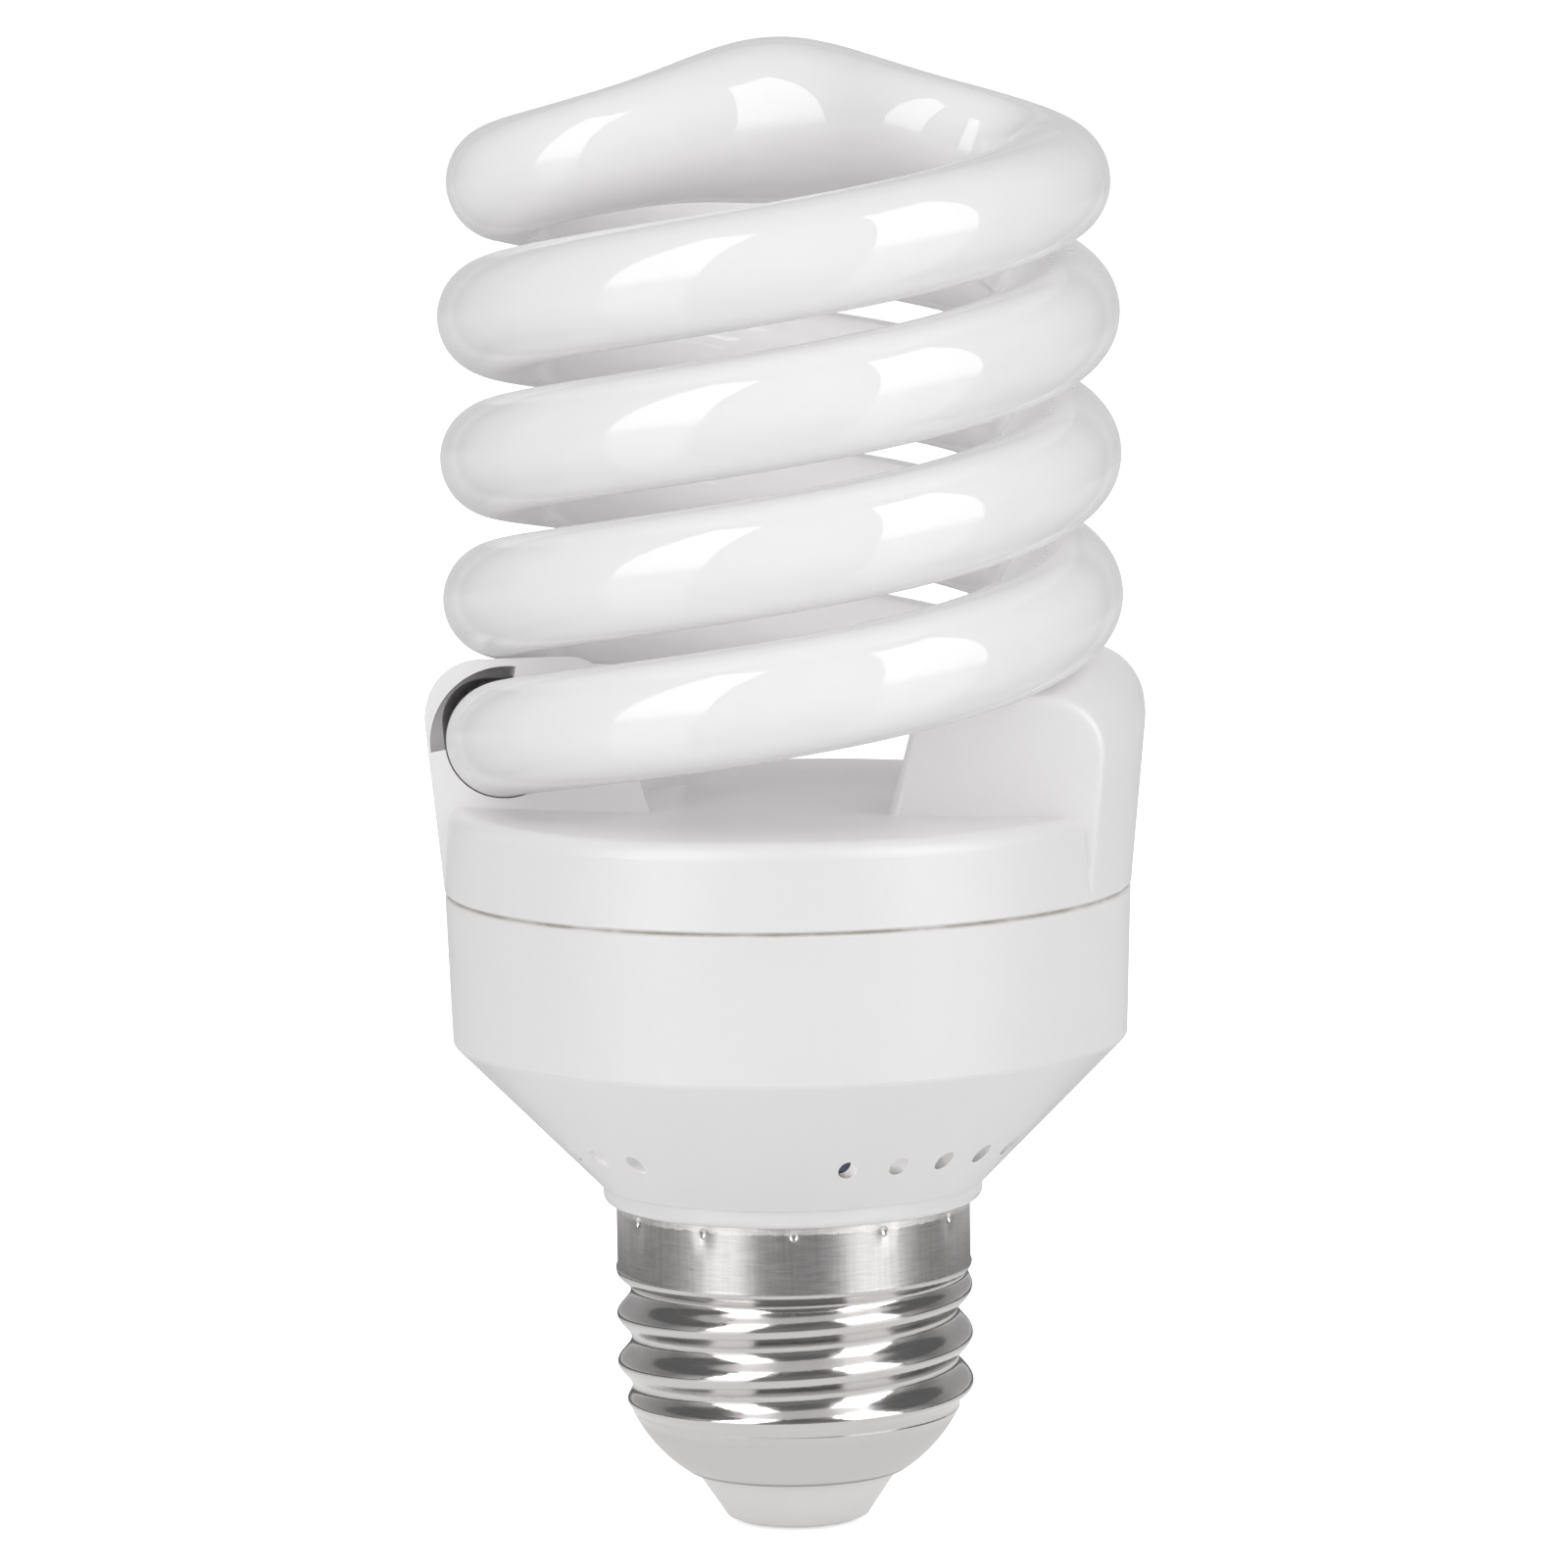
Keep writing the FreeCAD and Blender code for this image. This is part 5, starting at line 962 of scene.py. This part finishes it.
def gloss_only(name, points, faces, shades, material):
    """A card that shows in gloss and nowhere else."""
    mesh = bpy.data.meshes.new(name)
    mesh.from_pydata(points, [], faces)
    mesh.attributes.new("shade", "FLOAT", "POINT").data.foreach_set("value", shades)
    mesh.materials.append(material)
    card = in_scene(name, mesh)
    for ray in ("camera", "diffuse", "transmission", "volume_scatter", "shadow"):
        setattr(card, "visible_" + ray, False)
    card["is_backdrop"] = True


def seen_at(turn, rise, distance, foot=0.0):
    """The point at a turn from the front and a rise over the horizon."""
    turn, rise = math.radians(turn), math.radians(rise)
    level = distance * math.cos(rise)
    return (level * math.sin(turn), -level * math.cos(turn), foot + distance * math.sin(rise))


def in_a_box(turn):
    """Whether a soft box stands at a turn."""
    return any(abs(turn - box[0]) < box[1] for box in (LEFT_BOX, RIGHT_BOX))


def grid_faces(columns, rows, left_out=()):
    """Faces of a grid of points that are listed column by column."""
    return [(a * rows + b, (a + 1) * rows + b, (a + 1) * rows + b + 1, a * rows + b + 1)
            for a in range(columns - 1) if a not in left_out for b in range(rows - 1)]


def make_tent():
    """Grey tent that gives the metal its darker bands, its floor, and a low flag round the cap."""
    finish = glow_finish("tent_grey", 1.0)
    turns = list(range(-180, 181, TENT_STEP))
    rises = list(range(0, 91, 10))
    points = [seen_at(turn, rise, TENT_RADIUS) for turn in turns for rise in rises]
    faces = grid_faces(len(turns), len(rises))
    gloss_only("tent", points, faces, [TENT_SHADE] * len(points), finish)
    rings = [(turn, radius) for turn in turns for radius in FLOOR_RINGS]
    points = [seen_at(turn, 0, radius, FLOOR_CARD_HEIGHT) for turn, radius in rings]
    faces = grid_faces(len(turns), len(FLOOR_RINGS))
    gloss_only("tent_floor", points, faces, [floor_shade(*place) for place in rings], finish)
    rows = [(turn, height, factor) for turn in turns for height, factor in FLAG_HEIGHTS]
    points = [seen_at(turn, 0, FLAG_RADIUS, height) for turn, height, factor in rows]
    shades = [between(FLAG_SHADES, turn) * factor for turn, height, factor in rows]
    openings = [column for column, turn in enumerate(turns) if in_a_box(turn + TENT_STEP / 2)]
    gloss_only("flag", points, grid_faces(len(turns), len(FLAG_HEIGHTS), openings), shades, finish)


def floor_finish():
    """Pale floor that reads as white to the camera and keeps a soft shadow."""
    floor = Finish("pale_floor", Roughness=0.9, Base_Color=FLOOR_COLOUR)
    floor.set("Emission Color", (1, 1, 1, 1))
    floor.set("Emission Strength", floor.math("MULTIPLY", floor.seen(), FLOOR_GLOW))
    return floor.material


def make_floor():
    """The floor that the lamp stands on."""
    mesh = bpy.data.meshes.new("floor")
    corners = [(x * FLOOR_HALF, y * FLOOR_HALF, 0) for x, y in ((-1, -1), (1, -1), (1, 1), (-1, 1))]
    mesh.from_pydata(corners, [], [(0, 1, 2, 3)])
    mesh.materials.append(floor_finish())
    floor = in_scene("floor", mesh)
    floor.location.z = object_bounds()[0][2]
    floor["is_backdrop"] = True


def area_light(name, place, size, power):
    """A lamp that faces the middle of the lit object and stays out of gloss."""
    data = bpy.data.lights.new(name, "AREA")
    data.shape = "RECTANGLE"
    data.size, data.size_y = size
    data.energy = power
    light = in_scene(name, data)
    light.location = place
    light.rotation_euler = (LIT_MIDDLE - Vector(place)).to_track_quat("-Z", "Y").to_euler()
    light.visible_glossy = False


def soft_box(name, box, power, gleam):
    """A tall soft box: its light, and the card that shows it in gloss."""
    turn, half_width, rise, half_height = box
    size = [2 * BOX_DISTANCE * math.tan(math.radians(half)) for half in (half_width, half_height)]
    area_light(name, seen_at(turn, rise, BOX_DISTANCE, LIT_MIDDLE.z), size, power)
    turns = [turn + half_width * step / BOX_COLUMNS
             for step in range(-BOX_COLUMNS, BOX_COLUMNS + 1)]
    rises = [rise + half_height * step / BOX_ROWS for step in range(-BOX_ROWS, BOX_ROWS + 1)]
    points = [seen_at(a, b, BOX_DISTANCE, LIT_MIDDLE.z) for a in turns for b in rises]
    shades = [between(GLEAM_FADE, b) for a in turns for b in rises]
    faces = grid_faces(len(turns), len(rises))
    gloss_only(name + "_gleam", points, faces, shades, glow_finish(name + "_white", gleam))


def make_lights(studio):
    """Two soft boxes in front, two fills behind, and the light that comes through the housing."""
    soft_box("left_box", LEFT_BOX, studio.left_box, studio.gleam)
    soft_box("right_box", RIGHT_BOX, studio.right_box, studio.gleam)
    glow = bpy.data.lights.new("housing_glow", "POINT")
    glow.energy = studio.housing_glow
    glow.shadow_soft_size = GLOW_RADIUS
    lamp = in_scene("housing_glow", glow)
    lamp.location = HOUSING_MIDDLE
    lamp.visible_glossy = False
    for name, turn in FILLS:
        place = seen_at(turn, FILL_RISE, BOX_DISTANCE, LIT_MIDDLE.z)
        area_light(name, place, (FILL_SIDE, FILL_SIDE), studio.back_fill)


def make_world(ambient):
    """White all round for the camera, mirrors and glass, and a plain level of light."""
    world = bpy.data.worlds.new("studio_white")
    bpy.context.scene.world = world
    world.use_nodes = True
    nodes = Nodes(world.node_tree)
    backdrop = world.node_tree.nodes["Background"]
    nodes.put(backdrop.inputs["Color"], (1, 1, 1, 1))
    nodes.put(backdrop.inputs["Strength"], nodes.swing(nodes.seen(), ambient, 1.0))


def make_camera(studio):
    """The photograph's view: a long lens, a little above the lamp's middle."""
    data = bpy.data.cameras.new("camera")
    data.sensor_width = 36
    data.lens = data.sensor_width * PIXELS_PER_METRE * studio.camera_distance / FRAME_PIXELS
    data.clip_start = 0.01
    data.clip_end = 50
    camera = in_scene("camera", data)
    aim_x = (FRAME_PIXELS / 2 - AXIS_PIXEL) / PIXELS_PER_METRE
    aim = Vector((aim_x, 0, studio.camera_height))
    back = Vector((0, -math.cos(studio.camera_elevation), math.sin(studio.camera_elevation)))
    camera.location = aim + back * studio.camera_distance
    look = (-back).to_track_quat("-Z", "Y").to_matrix().to_4x4()
    camera.rotation_euler = (look @ Matrix.Rotation(-studio.camera_roll, 4, "Z")).to_euler()
    bpy.context.scene.camera = camera


class LAMP_OT_studio(bpy.types.Operator):
    """Set up the floor, the lights and the camera"""

    bl_idname = "lamp.studio"
    bl_label = "Studio"

    def execute(self, context):
        studio = context.scene.lamp_studio
        context.scene.view_settings.view_transform = "Standard"
        make_floor()
        make_tent()
        make_lights(studio)
        make_world(studio.ambient)
        make_camera(studio)
        return {"FINISHED"}


class LAMP_PT_panel(bpy.types.Panel):
    """Buttons and settings of the spiral lamp"""

    bl_idname = "LAMP_PT_panel"
    bl_label = "Spiral lamp"
    bl_space_type = "VIEW_3D"
    bl_region_type = "UI"
    bl_category = "Spiral lamp"

    def draw(self, context):
        for settings in (context.scene.lamp_finish, context.scene.lamp_studio):
            for name in settings.__annotations__:
                self.layout.prop(settings, name)
        for operator in OPERATORS:
            self.layout.operator(operator.bl_idname)


OPERATORS = (LAMP_OT_glass, LAMP_OT_mouldings, LAMP_OT_cap, LAMP_OT_ballast, LAMP_OT_components,
             LAMP_OT_wires, LAMP_OT_studio)
CLASSES = (LampFinish, LampStudio, *OPERATORS, LAMP_PT_panel)


def register():
    for item in CLASSES:
        bpy.utils.register_class(item)
    bpy.types.Scene.lamp_finish = PointerProperty(type=LampFinish)
    bpy.types.Scene.lamp_studio = PointerProperty(type=LampStudio)


def unregister():
    del bpy.types.Scene.lamp_studio
    del bpy.types.Scene.lamp_finish
    for item in reversed(CLASSES):
        bpy.utils.unregister_class(item)


def main():
    register()
    bpy.ops.lamp.glass()
    bpy.ops.lamp.mouldings()
    bpy.ops.lamp.cap()
    bpy.ops.lamp.ballast()
    bpy.ops.lamp.components()
    bpy.ops.lamp.wires()
    bpy.ops.lamp.studio()


if __name__ == "__main__":
    main()
